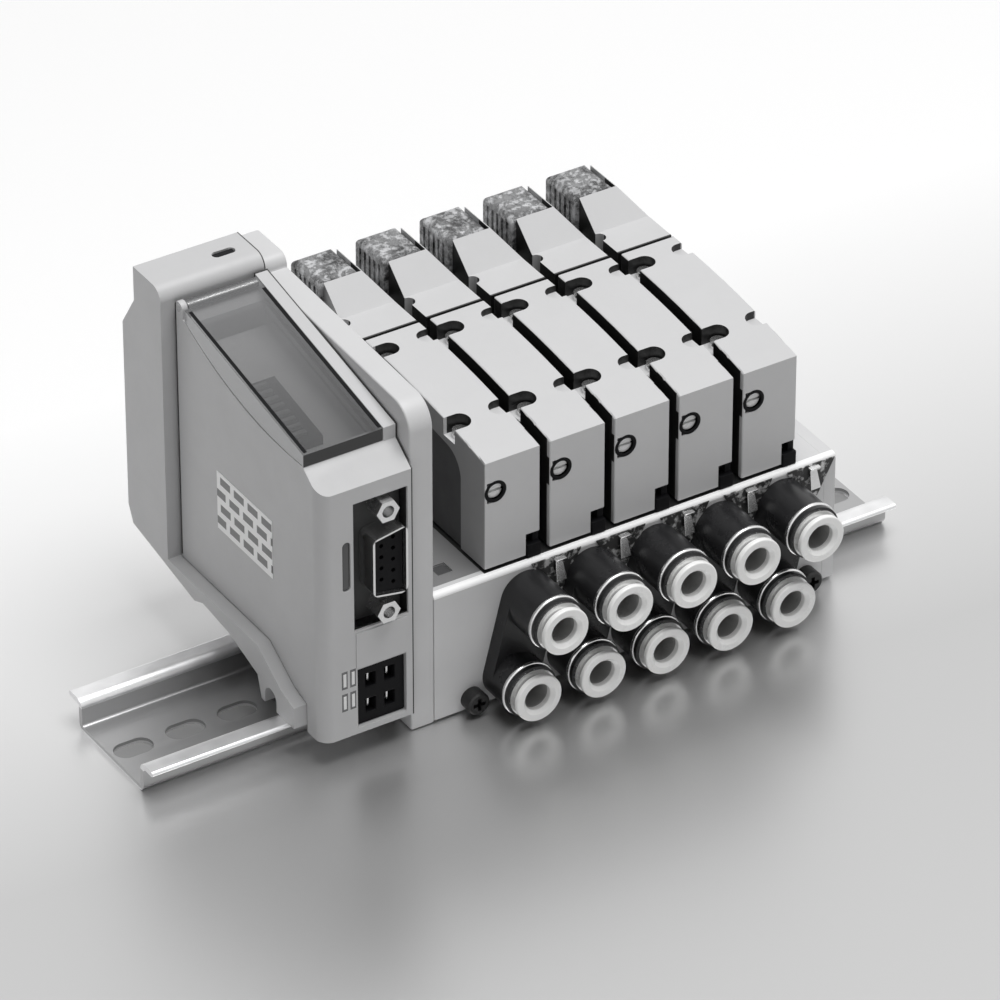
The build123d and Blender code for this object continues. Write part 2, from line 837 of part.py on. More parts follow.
# Screws that hold each valve down on the base
with BuildPart() as valve_screws:
    for y in (screw_y_front, screw_y_back):
        seat = Plane.XY.offset(crown_z(y) - screw_mouth_depth)
        places = [(x - valve_width / 2 + screw_inset, y) for x in station_centres]
        with BuildSketch(seat):
            with Locations(*places):
                Circle(screw_head_radius)
        extrude(amount=screw_head_height)
        with BuildSketch(seat.offset(screw_head_height)):
            with Locations(*places):
                Rectangle(2 * screw_head_radius, screw_slot_width)
        extrude(amount=-screw_slot_depth, mode=Mode.SUBTRACT)
        with BuildSketch(Plane.XY.offset(manifold_top - screw_engagement)):
            with Locations(*places):
                Circle(screw_shank_radius)
        extrude(until=Until.NEXT)
save(valve_screws.part, "valve_screws")


def smoke_place(x):
    """Left edge and right edge of the smoked connector cover of the valve at x."""
    left = x - valve_width / 2 - smoke_left
    return left, left + smoke_width


# Pilot caps, rounded at the rear right, which rise to the connector covers they have a ledge for
with BuildPart() as pilot_caps:
    for x in station_centres:
        ledge = smoke_place(x)[1] + seam - x + valve_width / 2
        with BuildSketch(Plane.XY.offset(valve_bottom)) as outline:
            with Locations((x, body_back)):
                Rectangle(valve_width, cap_back - body_back, align=(Align.CENTER, Align.MIN))
            fillet(outline.vertices().group_by(Axis.Y)[-1].sort_by(Axis.X)[-1], valve_width - ledge - seam)
            with Locations((x - valve_width / 2, cap_notch_y)):
                Circle(cap_notch_radius, mode=Mode.SUBTRACT)
        extrude(amount=smoke_top - valve_bottom)
        with BuildSketch(Plane.XY.offset(smoke_top)):
            with Locations((x - valve_width / 2, smoke_front - seam)):
                Rectangle(ledge, cap_back, align=(Align.MIN, Align.MIN))
        extrude(amount=smoke_bottom - smoke_top, mode=Mode.SUBTRACT)
        # Slopes of the rise, at the front and on the right
        with BuildSketch(side_plane(x - valve_width / 2)):
            with BuildLine():
                Polyline(
                    (body_back, cap_height),
                    (cap_rise_front, cap_height),
                    (smoke_front - seam, smoke_top),
                    (body_back, smoke_top),
                    close=True,
                )
            make_face()
        extrude(amount=valve_width, mode=Mode.SUBTRACT)
        with BuildSketch(front_plane(body_back)):
            with BuildLine():
                Polyline(
                    (x - valve_width / 2 + ledge + seam, smoke_top),
                    (x + valve_width / 2, cap_height),
                    (x + valve_width / 2, smoke_top),
                    close=True,
                )
            make_face()
        extrude(amount=-(cap_back - body_back), mode=Mode.SUBTRACT)
    with BuildSketch(front_plane(body_back)):
        with Locations(*[(x, coil_height) for x in station_centres]):
            Circle(coil_radius + coil_flange + running)
    extrude(amount=-coil_length, mode=Mode.SUBTRACT)
save(pilot_caps.part, "pilot_caps")


# Pilot coils on their bobbins, inside the caps
with BuildPart() as pilot_coils:
    places = [(x, coil_height) for x in station_centres]
    with BuildSketch(front_plane(body_back)):
        with Locations(*places):
            Circle(coil_radius)
    extrude(amount=-coil_length)
    for y in (body_back, body_back + coil_length - coil_flange):
        with BuildSketch(front_plane(y)):
            with Locations(*places):
                Circle(coil_radius + coil_flange)
        extrude(amount=-coil_flange)
    with BuildSketch(front_plane(body_back)):
        with Locations(*places):
            Circle(coil_plunger_radius)
    extrude(amount=-coil_length, mode=Mode.SUBTRACT)
save(pilot_coils.part, "pilot_coils")


# Smoked connector covers, hollow from below, with a ribbed lug on the left
with BuildPart() as connector_covers:
    for x in station_centres:
        left, right = smoke_place(x)
        depth = smoke_back - smoke_front
        with BuildSketch(Plane.XY.offset(smoke_bottom)):
            with Locations((x - valve_width / 2, smoke_front)):
                Rectangle(right - x + valve_width / 2, depth, align=(Align.MIN, Align.MIN))
        extrude(amount=smoke_top - smoke_bottom)
        with BuildSketch(side_plane(left)) as lug:
            with Locations((smoke_front, smoke_lug_bottom)):
                Rectangle(depth, smoke_top - smoke_lug_bottom, align=(Align.MIN, Align.MIN))
            fillet(lug.vertices().group_by(Axis.Y)[0].sort_by(Axis.X)[0], smoke_lug_radius)
        extrude(amount=smoke_left + smoke_wall)
    fillet(connector_covers.faces().filter_by(Axis.Z).group_by(Axis.Z)[-1].edges(), smoke_crown)
    for x in station_centres:
        left, right = smoke_place(x)
        with BuildSketch(Plane.XY.offset(smoke_bottom)):
            with Locations((x - valve_width / 2 + smoke_wall, smoke_front + smoke_wall)):
                Rectangle(right - x + valve_width / 2 - 2 * smoke_wall, depth - 2 * smoke_wall,
                          align=(Align.MIN, Align.MIN))
        extrude(amount=smoke_top - smoke_bottom - smoke_crown - smoke_wall, mode=Mode.SUBTRACT)
        with BuildSketch(Plane.XY.offset(smoke_lug_bottom)):
            with Locations((left, smoke_front + depth / 2)):
                with GridLocations(0, depth / (rib_count + 1), 1, rib_count):
                    Rectangle(2 * rib_depth, rib_width)
        extrude(amount=smoke_top - smoke_lug_bottom - smoke_crown, mode=Mode.SUBTRACT)
save(connector_covers.part, "connector_covers")


# Adapter plate between the base and the interface unit, with a hump at the rear
adapter_outline = (
    [
        (manifold_front, adapter_bottom),
        (manifold_front, adapter_front_z),
        (adapter_hump_y, adapter_rear_z),
        (adapter_hump_y, rear_top_z - adapter_hump_drop),
        (manifold_back, rear_top_z - adapter_hump_drop),
    ]
    + base_outline[3:-1]
    + [(skirt_back, adapter_bottom)]
)
with BuildPart() as adapter_plate:
    with BuildSketch(side_plane(adapter_left)) as section:
        with BuildLine():
            Polyline(*adapter_outline, close=True)
        make_face()
        fillet(section.vertices().group_by(Axis.X)[0].sort_by(Axis.Y)[-1], adapter_front_radius)
        hump_front, hump_back = section.vertices().group_by(Axis.Y)[-1].sort_by(Axis.X)
        fillet(hump_front, adapter_hump_radius)
        fillet(hump_back, adapter_back_radius)
    extrude(amount=adapter_thickness)
save(adapter_plate.part, "adapter_plate")


# Rear housing of the interface unit: a column at the back and a beam that stands on the rail
beam_nose = (beam_front + beam_nose_length, beam_top - beam_nose_drop)
beam_shoulder = (beam_front + beam_shoulder_length, beam_top)
rear_outline = [
    (beam_front, rail_height),
    (beam_front, beam_nose[1] - beam_nose_step),
    beam_nose,
    beam_shoulder,
    (rear_front, beam_top),
    (rear_front, rear_top_z),
    (rear_top_back, rear_top_z),
    (rear_top_back, rear_top_z - rear_step_drop),
    (rear_back, rear_top_z - rear_step_drop - rear_step_rise),
    (rear_back, rear_corner_z),
    (rear_back - rear_corner_cut, rear_bottom_z),
    (foot_heel_y, foot_heel_z),
    (foot_heel_y - foot_crest_length, foot_heel_z + foot_crest_rise),
    (foot_heel_y - foot_sole_length, foot_heel_z + foot_sole_rise),
    (arch_y + arch_leg_far, arch_leg_top),
    (arch_y + arch_leg_near, rail_height),
]
with BuildPart() as si_rear_housing:
    with BuildSketch(side_plane(unit_left)) as section:
        with BuildLine():
            Polyline(*rear_outline, close=True)
        make_face()
        top_front, top_back = section.vertices().group_by(Axis.Y)[-1].sort_by(Axis.X)
        fillet(top_front, rear_brow_radius)
        fillet(top_back, rear_edge)
        with Locations((arch_y, rail_height)):
            SlotOverall(2 * (arch_top - rail_height), arch_width, rotation=90, mode=Mode.SUBTRACT)
    extrude(amount=unit_width)
    # Inner foot with the hook under the rear of the rail
    with BuildSketch(side_plane(unit_right - foot_block_inset - foot_block_width)):
        with BuildLine():
            Polyline(
                (foot_block_front, foot_block_top),
                (foot_block_front, rail_height),
                *base_outline[9:3:-1],
                (lip_y + hook_gap + rear_arm, foot_block_top),
                close=True,
            )
        make_face()
    extrude(amount=foot_block_width)
    with BuildSketch(Plane.XY.offset(rear_top_z)):
        with Locations((unit_right - top_slot_inset, top_slot_y)):
            SlotOverall(top_slot_length, top_slot_width)
    extrude(amount=-top_slot_depth, mode=Mode.SUBTRACT)
save(si_rear_housing.part, "si_rear_housing")


# Front housing of the interface unit: a shell whose sloping roof is open under the window
roof_drop = window_thickness + window_gap
housing_back = rear_front - face_gap
housing_outline = [
    (housing_front, housing_bottom),
    (housing_front, brow_z),
    (window_front, window_z(window_front, roof_drop)),
    (housing_back, window_z(housing_back, roof_drop)),
    (housing_back, beam_top + seam),
    (beam_shoulder[0] - seam, beam_top + seam),
    (beam_nose[0] - seam, beam_nose[1] + seam),
    (beam_front - seam, beam_nose[1] - beam_nose_step + seam),
    (beam_front - seam, housing_bottom),
]
cavity_front = housing_front + housing_wall
cavity_back = housing_back - housing_wall
cavity_floor = beam_top + seam + housing_wall
cavity_sill = power_top + 2 * housing_wall
hinge_z = window_z(hinge_y, window_thickness / 2)
with BuildPart() as si_front_housing:
    with BuildSketch(side_plane(housing_left)):
        with BuildLine():
            Polyline(*housing_outline, close=True)
        make_face()
    extrude(amount=housing_width)
    front_left = si_front_housing.edges().filter_by(Axis.Z).group_by(Axis.X)[0].sort_by(Axis.Y)[0]
    fillet(front_left, housing_corner)
    # Rim on the right, level with the window
    with BuildSketch(side_plane(window_right)):
        with BuildLine():
            Polyline(
                (window_front - window_lip, brow_z),
                (window_front - window_lip, window_z(window_front)),
                (housing_back, window_z(housing_back)),
                (housing_back, brow_z),
                close=True,
            )
        make_face()
    extrude(amount=right_rim)
    # Space for the boards and the connector, and the opening under the window
    with BuildSketch(side_plane(housing_left + housing_wall)):
        with BuildLine():
            Polyline(
                (cavity_front, cavity_sill),
                (cavity_front, brow_z - housing_wall),
                (window_front, window_z(window_front, roof_drop) - housing_wall),
                (cavity_back, window_z(cavity_back, roof_drop) - housing_wall),
                (cavity_back, cavity_floor),
                (beam_shoulder[0] + housing_wall, cavity_floor),
                (beam_nose[0], cavity_sill),
                close=True,
            )
        make_face()
    extrude(amount=housing_width - 2 * housing_wall, mode=Mode.SUBTRACT)
    with BuildSketch(Plane.XY.offset(brow_z - housing_wall)):
        with Locations((housing_left + housing_wall + rim_step, board_front)):
            Rectangle(window_right - housing_left - housing_wall - 2 * rim_step,
                      board_back - board_front, align=(Align.MIN, Align.MIN))
    extrude(amount=rear_top_z - brow_z, mode=Mode.SUBTRACT)
    # Openings and recesses of the front face
    with BuildSketch(front_plane(housing_front)):
        with Locations((opening_x, bus_z)):
            Rectangle(bus_opening_width, bus_opening_height)
    extrude(amount=-housing_wall, mode=Mode.SUBTRACT)
    with BuildSketch(front_plane(housing_front)):
        with Locations((opening_x, (power_top + power_bottom) / 2)):
            Rectangle(power_width, power_top - power_bottom)
    extrude(amount=-power_sunk - power_depth, mode=Mode.SUBTRACT)
    with BuildSketch(front_plane(housing_front)):
        with Locations((label_slot_x, label_slot_z)):
            SlotOverall(label_slot_height, label_slot_width, rotation=90)
        with Locations((indicator_x, indicator_z)):
            with GridLocations(indicator_pitch_x, indicator_pitch_z, 2, 2):
                Rectangle(indicator_width, indicator_height)
    extrude(amount=-indicator_depth, mode=Mode.SUBTRACT)
    # Recess of the left wall for the skirt of the window cover
    with BuildSketch(side_plane(housing_left)):
        with BuildLine():
            recess_back = hinge_y - hinge_ear_length
            first = (window_front, window_z(window_front, roof_drop))
            last = (recess_back, window_z(recess_back, roof_drop))
            ThreePointArc(
                first,
                (skirt_deepest_y, window_z(skirt_deepest_y, roof_drop + skirt_depth + window_gap)),
                last,
            )
            Line(last, first)
        make_face()
    extrude(amount=skirt_wall + window_gap, mode=Mode.SUBTRACT)
    # Ear and rim seat of the hinge pin
    with BuildSketch(side_plane(housing_left)):
        with Locations((hinge_y, hinge_z)):
            Circle(hinge_ear_radius)
            Rectangle(2 * hinge_ear_radius, window_thickness + 2 * window_gap,
                      align=(Align.CENTER, Align.MAX))
    extrude(amount=hinge_ear)
    with BuildSketch(side_plane(housing_left)):
        with Locations((hinge_y, hinge_z)):
            Circle(hinge_radius)
    extrude(amount=unit_right - housing_left - right_rim / 2, mode=Mode.SUBTRACT)
save(si_front_housing.part, "si_front_housing")


# Pin of the window's hinge, pressed into the ear and the rim
with BuildPart() as hinge_pin:
    with BuildSketch(side_plane(housing_left)):
        with Locations((hinge_y, hinge_z)):
            Circle(hinge_radius)
    extrude(amount=unit_right - housing_left - right_rim / 2)
save(hinge_pin.part, "hinge_pin")


# Smoked window cover with a barrel at the hinge and a skirt along its left side
with BuildPart() as window_cover:
    cover_lip = window_front - window_lip
    with BuildSketch(side_plane(housing_left)):
        with BuildLine():
            Polyline(
                (cover_lip, window_z(cover_lip, roof_drop)),
                (cover_lip, window_z(cover_lip)),
                (hinge_y, window_z(hinge_y)),
                (hinge_y, window_z(hinge_y, window_thickness)),
                (window_front, window_z(window_front, window_thickness)),
                close=True,
            )
        make_face()
        with Locations((hinge_y, hinge_z)):
            Circle(window_thickness / 2)
    extrude(amount=window_right - housing_left - seam)
    # The corner at the ear is cut away
    with BuildSketch(side_plane(housing_left)):
        with Locations((hinge_y - hinge_ear_length, hinge_z)):
            Rectangle(2 * hinge_ear_length, 4 * window_thickness, align=(Align.MIN, Align.CENTER))
    extrude(amount=hinge_ear + seam, mode=Mode.SUBTRACT)
    with BuildSketch(side_plane(housing_left)):
        with BuildLine():
            skirt_end = hinge_y - hinge_ear_length - seam
            first = (window_front, window_z(window_front, window_thickness))
            last = (skirt_end, window_z(skirt_end, window_thickness))
            ThreePointArc(
                first,
                (skirt_deepest_y, window_z(skirt_deepest_y, window_thickness + skirt_depth)),
                last,
            )
            Line(last, first)
        make_face()
    extrude(amount=skirt_wall)
    with BuildSketch(side_plane(housing_left)):
        with Locations((hinge_y, hinge_z)):
            Circle(hinge_radius + running)
    extrude(amount=window_right - housing_left, mode=Mode.SUBTRACT)
save(window_cover.part, "window_cover")


# Boards of the interface unit: one under the window with a switch block, one upright
def sloping_slab(top, thickness, y_from, y_to):
    """Corners of a slab parallel to the window, its top face at depth top under the window's."""
    return [
        (y_from, window_z(y_from, top)),
        (y_to, window_z(y_to, top)),
        (y_to, window_z(y_to, top + thickness)),
        (y_from, window_z(y_from, top + thickness)),
    ]


board_depth = roof_drop + housing_wall + board_drop
with BuildPart() as indicator_board:
    with BuildSketch(side_plane(housing_left + housing_wall + board_gap)):
        with BuildLine():
            Polyline(*sloping_slab(board_depth, board_thickness, board_front, board_back), close=True)
        make_face()
    extrude(amount=housing_width - 2 * housing_wall - 2 * board_gap)
save(indicator_board.part, "indicator_board")

with BuildPart() as switch_block:
    with BuildSketch(side_plane(housing_left + housing_wall + switch_inset)):
        with BuildLine():
            Polyline(*sloping_slab(board_depth - switch_height, switch_height, switch_front,
                                   switch_front + switch_length), close=True)
        make_face()
    extrude(amount=switch_width)
save(switch_block.part, "switch_block")

flange_front = housing_front + bus_recess
main_board_front = flange_front + bus_body_depth + bus_flange_thickness
main_board_roof = board_depth + board_thickness + board_gap
with BuildPart() as main_board:
    with BuildSketch(side_plane(main_board_x)):
        with BuildLine():
            Polyline(
                (main_board_front, cavity_sill + board_gap),
                (main_board_front, window_z(main_board_front, main_board_roof)),
                (main_board_back, window_z(main_board_back, main_board_roof)),
                (main_board_back, cavity_floor + board_gap),
                (beam_shoulder[0] + housing_wall, cavity_floor + board_gap),
                close=True,
            )
        make_face()
    extrude(amount=board_thickness)
save(main_board.part, "main_board")


# Bus connector: insulator body, metal shell on its flange, and jack screws
with BuildPart() as bus_connector_body:
    with BuildSketch(front_plane(flange_front + bus_flange_thickness)):
        with Locations((bus_x, bus_z)):
            Rectangle(bus_flange_width, bus_flange_height)
    extrude(amount=-bus_body_depth)
    with BuildSketch(front_plane(flange_front + bus_flange_thickness)):
        with Locations((bus_x, bus_z)):
            Trapezoid(shell_long - 2 * shell_wall - seam, shell_width - 2 * shell_wall - seam,
                      shell_angle, rotation=90)
    extrude(amount=bus_flange_thickness + shell_height - pin_face_drop)
    with BuildSketch(front_plane(flange_front - shell_height + pin_face_drop)):
        with Locations((bus_x + pin_pitch_x / 2, bus_z)):
            with GridLocations(0, pin_pitch_z, 1, 5):
                Circle(pin_radius)
        with Locations((bus_x - pin_pitch_x / 2, bus_z)):
            with GridLocations(0, pin_pitch_z, 1, 4):
                Circle(pin_radius)
    extrude(amount=-pin_depth, mode=Mode.SUBTRACT)
save(bus_connector_body.part, "bus_connector_body")

with BuildPart() as bus_connector_shell:
    with BuildSketch(front_plane(flange_front + bus_flange_thickness)):
        with Locations((bus_x, bus_z)):
            Rectangle(bus_flange_width, bus_flange_height)
    extrude(amount=bus_flange_thickness)
    with BuildSketch(front_plane(flange_front)) as shell_outline:
        with Locations((bus_x, bus_z)):
            Trapezoid(shell_long, shell_width, shell_angle, rotation=90)
        fillet(shell_outline.vertices(), shell_corner)
    extrude(amount=shell_height)
    with BuildSketch(front_plane(flange_front - shell_height)):
        with Locations((bus_x, bus_z)):
            Trapezoid(shell_long - 2 * shell_wall, shell_width - 2 * shell_wall, shell_angle,
                      rotation=90)
    extrude(amount=-shell_height - bus_flange_thickness, mode=Mode.SUBTRACT)
save(bus_connector_shell.part, "bus_connector_shell")

with BuildPart() as jack_screws:
    with BuildSketch(front_plane(flange_front)):
        with Locations((bus_x, bus_z)):
            with GridLocations(0, jack_pitch, 1, 2):
                RegularPolygon(jack_flats / 2, 6, major_radius=False)
    extrude(amount=jack_height)
    with BuildSketch(front_plane(flange_front - jack_height)):
        with Locations((bus_x, bus_z)):
            with GridLocations(0, jack_pitch, 1, 2):
                Circle(jack_bore_radius)
    extrude(amount=-jack_height + housing_wall / 2, mode=Mode.SUBTRACT)
save(jack_screws.part, "jack_screws")


# Power plug in its opening, with two contact pockets
with BuildPart() as power_plug:
    with BuildSketch(front_plane(housing_front + power_sunk)):
        with Locations((opening_x, (power_top + power_bottom) / 2)):
            Rectangle(power_width - seam, power_top - power_bottom - seam)
    extrude(amount=-power_depth)
    with BuildSketch(front_plane(housing_front + power_sunk)):
        with Locations((opening_x, (power_top + power_bottom) / 2)):
            with GridLocations(power_contact_pitch_x, power_contact_pitch_z, 2, 2):
                Rectangle(power_contact_width, power_contact_height)
    extrude(amount=-power_contact_depth, mode=Mode.SUBTRACT)
save(power_plug.part, "power_plug")


# Four indicator windows let into the front face
with BuildPart() as indicator_windows:
    with BuildSketch(front_plane(housing_front)):
        with Locations((indicator_x, indicator_z)):
            with GridLocations(indicator_pitch_x, indicator_pitch_z, 2, 2):
                Rectangle(indicator_width, indicator_height)
    extrude(amount=-indicator_depth)
save(indicator_windows.part, "indicator_windows")
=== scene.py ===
"""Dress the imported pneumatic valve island: softened edges, small parts, finishes and a studio."""

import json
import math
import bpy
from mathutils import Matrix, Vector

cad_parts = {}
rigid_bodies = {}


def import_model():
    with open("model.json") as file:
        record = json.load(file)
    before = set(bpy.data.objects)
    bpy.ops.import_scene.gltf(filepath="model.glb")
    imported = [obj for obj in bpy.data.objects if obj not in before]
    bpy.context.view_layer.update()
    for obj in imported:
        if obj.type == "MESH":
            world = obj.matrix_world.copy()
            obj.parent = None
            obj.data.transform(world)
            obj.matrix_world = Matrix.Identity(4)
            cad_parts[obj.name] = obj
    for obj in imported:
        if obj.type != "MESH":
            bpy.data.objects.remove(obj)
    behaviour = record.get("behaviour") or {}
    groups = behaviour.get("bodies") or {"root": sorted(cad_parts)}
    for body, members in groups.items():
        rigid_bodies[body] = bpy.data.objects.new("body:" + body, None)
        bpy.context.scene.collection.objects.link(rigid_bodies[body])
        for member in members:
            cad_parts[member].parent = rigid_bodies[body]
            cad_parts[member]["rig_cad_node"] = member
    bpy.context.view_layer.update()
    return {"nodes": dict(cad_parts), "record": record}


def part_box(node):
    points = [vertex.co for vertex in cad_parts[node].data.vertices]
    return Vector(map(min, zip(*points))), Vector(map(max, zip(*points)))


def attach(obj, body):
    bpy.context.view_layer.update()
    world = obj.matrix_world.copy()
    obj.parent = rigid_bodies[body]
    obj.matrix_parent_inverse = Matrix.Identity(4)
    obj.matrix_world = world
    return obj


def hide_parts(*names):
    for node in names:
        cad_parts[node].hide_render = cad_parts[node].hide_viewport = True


bl_info = {
    "name": "Valve Island Dressing",
    "version": (1, 0, 0),
    "blender": (4, 5, 0),
    "location": "3D View > Sidebar > Valve Island",
    "description": "Finishes and small parts of a pneumatic valve island on its rail",
    "category": "Object",
}

import bpy
from bpy.props import FloatProperty, FloatVectorProperty, IntProperty, PointerProperty
from mathutils import Vector

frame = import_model()
NODES = frame["nodes"]
BODY_OF = {
    name: body for body, names in frame["record"]["behaviour"]["bodies"].items() for name in names
}
SLOT_OF = {part["node"]: part["material_slot"] for part in frame["record"]["subparts"]}
COVERS = sorted(name for name in NODES if name.startswith("valve_cover_"))
ROOT = "island"
MM = 0.001
WHITE = (1.0, 1.0, 1.0, 1.0)

# A place past the island on any side, in metres, where a mask has only one limit
FAR = 1.0

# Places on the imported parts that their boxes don't give
WINDOW_SLOPE = math.radians(10.9)
WINDOW_TOP_Y = -19.5 * MM
WINDOW_TOP_Z = 74.9 * MM
SIDE_LABEL_Y = 4.3 * MM
SIDE_LABEL_Z = 44.0 * MM
FRONT_SLOT_X = -50.8 * MM
FRONT_SLOT_Z = 48.5 * MM
TOP_SLOT_X = -41.5 * MM
TOP_SLOT_Y = 38.0 * MM
BASE_POCKET_X = -22.6 * MM
BASE_POCKET_Y = -16.9 * MM
UNIT_JOINT_Z = 21.0 * MM

# How dark the masks make what is only partly in shade, from 0 to 1
VALVE_SIDE_SHADE = 0.55
BASE_TOP_SHADE = 0.68
COLLAR_BORE_SHADE = 0.6


# Settings


class ResinColours(bpy.types.PropertyGroup):
    """Colours of the moulded parts."""

    base: FloatVectorProperty(
        name="Base", description="Manifold base and end plate", subtype="COLOR", default=(0.66, 0.66, 0.665)
    )
    unit: FloatVectorProperty(
        name="Unit",
        description="Housings of the interface unit",
        subtype="COLOR",
        default=(0.56, 0.56, 0.565),
    )
    adapter: FloatVectorProperty(
        name="Adapter",
        description="Adapter plate beside the unit",
        subtype="COLOR",
        default=(0.64, 0.64, 0.645),
    )
    cover: FloatVectorProperty(
        name="Cover", description="Valve covers and pilot caps", subtype="COLOR", default=(0.61, 0.61, 0.615)
    )
    body: FloatVectorProperty(
        name="Body",
        description="Valve bodies under the covers",
        subtype="COLOR",
        default=(0.05, 0.05, 0.052),
    )
    fitting: FloatVectorProperty(
        name="Fitting",
        description="Bodies of the tube fittings",
        subtype="COLOR",
        default=(0.018, 0.018, 0.019),
    )
    collar: FloatVectorProperty(
        name="Collar", description="Release collars", subtype="COLOR", default=(0.97, 0.97, 0.96)
    )
    button: FloatVectorProperty(
        name="Button", description="Manual override buttons", subtype="COLOR", default=(0.88, 0.88, 0.88)
    )
    smoke: FloatVectorProperty(
        name="Smoke",
        description="Smoked window and connector covers",
        subtype="COLOR",
        default=(0.17, 0.171, 0.174),
    )
    black: FloatVectorProperty(
        name="Black",
        description="Plug, insulator and switch block",
        subtype="COLOR",
        default=(0.008, 0.008, 0.009),
    )
    board: FloatVectorProperty(
        name="Board",
        description="Boards and the deck under the window",
        subtype="COLOR",
        default=(0.64, 0.64, 0.64),
    )


class MetalColours(bpy.types.PropertyGroup):
    """Colours of the bare and plated metals."""

    zinc: FloatVectorProperty(
        name="Zinc", description="Folded rail", subtype="COLOR", default=(0.82, 0.82, 0.825)
    )
    nickel: FloatVectorProperty(
        name="Nickel", description="Screws, rings and clips", subtype="COLOR", default=(0.78, 0.78, 0.78)
    )
    blackened: FloatVectorProperty(
        name="Blackened", description="Clamp screws and blocks", subtype="COLOR", default=(0.03, 0.03, 0.03)
    )
    copper: FloatVectorProperty(
        name="Copper", description="Pilot coils", subtype="COLOR", default=(0.55, 0.28, 0.14)
    )


class DetailSizes(bpy.types.PropertyGroup):
    """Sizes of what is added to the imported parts."""

    edge_large: FloatProperty(
        name="Large edges", description="Rounding of the housings", unit="LENGTH", default=0.45 * MM
    )
    edge_small: FloatProperty(
        name="Small edges", description="Rounding of base and valves", unit="LENGTH", default=0.25 * MM
    )
    label_length: FloatProperty(
        name="Label length", description="Blank label along Y", unit="LENGTH", default=22.4 * MM
    )
    label_height: FloatProperty(
        name="Label height", description="Height of the blank label", unit="LENGTH", default=14.4 * MM
    )
    label_thickness: FloatProperty(
        name="Label thickness", description="Thickness of the label film", unit="LENGTH", default=0.12 * MM
    )
    strip_thickness: FloatProperty(
        name="Strip thickness", description="Strips laid into the slots", unit="LENGTH", default=0.5 * MM
    )
    panel_thickness: FloatProperty(
        name="Panel thickness", description="Blank panel over the plug", unit="LENGTH", default=0.24 * MM
    )
    # Strips along the window's sides: the right one is painted shadow
    edge_strip_width: FloatProperty(
        name="Trim width", description="Dark trims of the window", unit="LENGTH", default=0.8 * MM
    )
    edge_strip_height: FloatProperty(
        name="Trim height", description="Thickness of the trims", unit="LENGTH", default=0.14 * MM
    )
    bead_ring: FloatProperty(
        name="Bead ring", description="From a fitting's axis to its bead", unit="LENGTH", default=6.1 * MM
    )
    bead_radius: FloatProperty(
        name="Bead radius", description="Section of the bright bead", unit="LENGTH", default=0.32 * MM
    )
    button_gap: FloatProperty(
        name="Button gap", description="From a button to its ring's middle", unit="LENGTH", default=0.35 * MM
    )
    button_ring: FloatProperty(
        name="Button ring", description="Section of the black ring", unit="LENGTH", default=0.42 * MM
    )
    # The clip plate's dark patches are painted shade
    plate_thickness: FloatProperty(
        name="Clip plate", description="Dark plate of a spring clip", unit="LENGTH", default=0.28 * MM
    )
    tongue_lean: FloatProperty(
        name="Tongue lean",
        description="Lean of a clip's tongue",
        subtype="ANGLE",
        default=math.radians(14.0),
    )
    lever_count: IntProperty(
        name="Switch levers", description="Levers on the switch block", default=8, min=1
    )
    lever_height: FloatProperty(
        name="Lever height", description="Height of a switch lever", unit="LENGTH", default=0.9 * MM
    )


class Studio(bpy.types.PropertyGroup):
    """Camera, lamp and floor."""

    azimuth: FloatProperty(
        name="Azimuth",
        description="Camera angle from the front",
        subtype="ANGLE",
        default=math.radians(-32.1),
    )
    elevation: FloatProperty(
        name="Elevation",
        description="Camera angle above the floor",
        subtype="ANGLE",
        default=math.radians(34.1),
    )
    distance: FloatProperty(
        name="Distance", description="Camera to its target", unit="LENGTH", default=1.6
    )
    lens: FloatProperty(name="Lens", description="Focal length in millimetres", default=273.0)
    target: FloatVectorProperty(
        name="Target",
        description="Point in the middle of the picture",
        subtype="XYZ",
        default=(0.0025, 0.0, 0.0311),
    )
    key_energy: FloatProperty(name="Key", description="Power of the overhead lamp", default=16.0)
    key_size: FloatProperty(
        name="Key size", description="Width of the overhead lamp", unit="LENGTH", default=0.9
    )
    key_offset: FloatVectorProperty(
        name="Key offset",
        description="Lamp's place from the target",
        subtype="XYZ",
        default=(0.14, -0.13, 1.3),
    )
    sky_strength: FloatProperty(name="Sky", description="Strength of the soft surround", default=0.2)
    floor_size: FloatProperty(
        name="Floor size", description="Width of the floor", unit="LENGTH", default=8.0
    )
    # The far and near floor colours and the fades below paint the light's falloff on the floor
    floor_far: FloatVectorProperty(
        name="Far floor", description="Floor behind the island", subtype="COLOR", default=(0.98, 0.98, 0.98)
    )
    floor_near: FloatVectorProperty(
        name="Near floor",
        description="Floor ahead of the island",
        subtype="COLOR",
        default=(0.17, 0.17, 0.17),
    )
    floor_gloss: FloatProperty(name="Floor gloss", description="Share of gloss in the floor", default=0.48)
    floor_roughness: FloatProperty(
        name="Floor roughness", description="Roughness of the floor's gloss", default=0.32
    )
    fade_away: FloatProperty(
        name="Fade away", description="Brightening of the floor away from the camera, per metre", default=5.6
    )
    fade_right: FloatProperty(
        name="Fade right", description="Darkening of the floor to the right, per metre", default=2.9
    )
    fade_middle: FloatProperty(
        name="Fade middle", description="Share of the far floor under the island's middle", default=0.27
    )


# Shader nodes


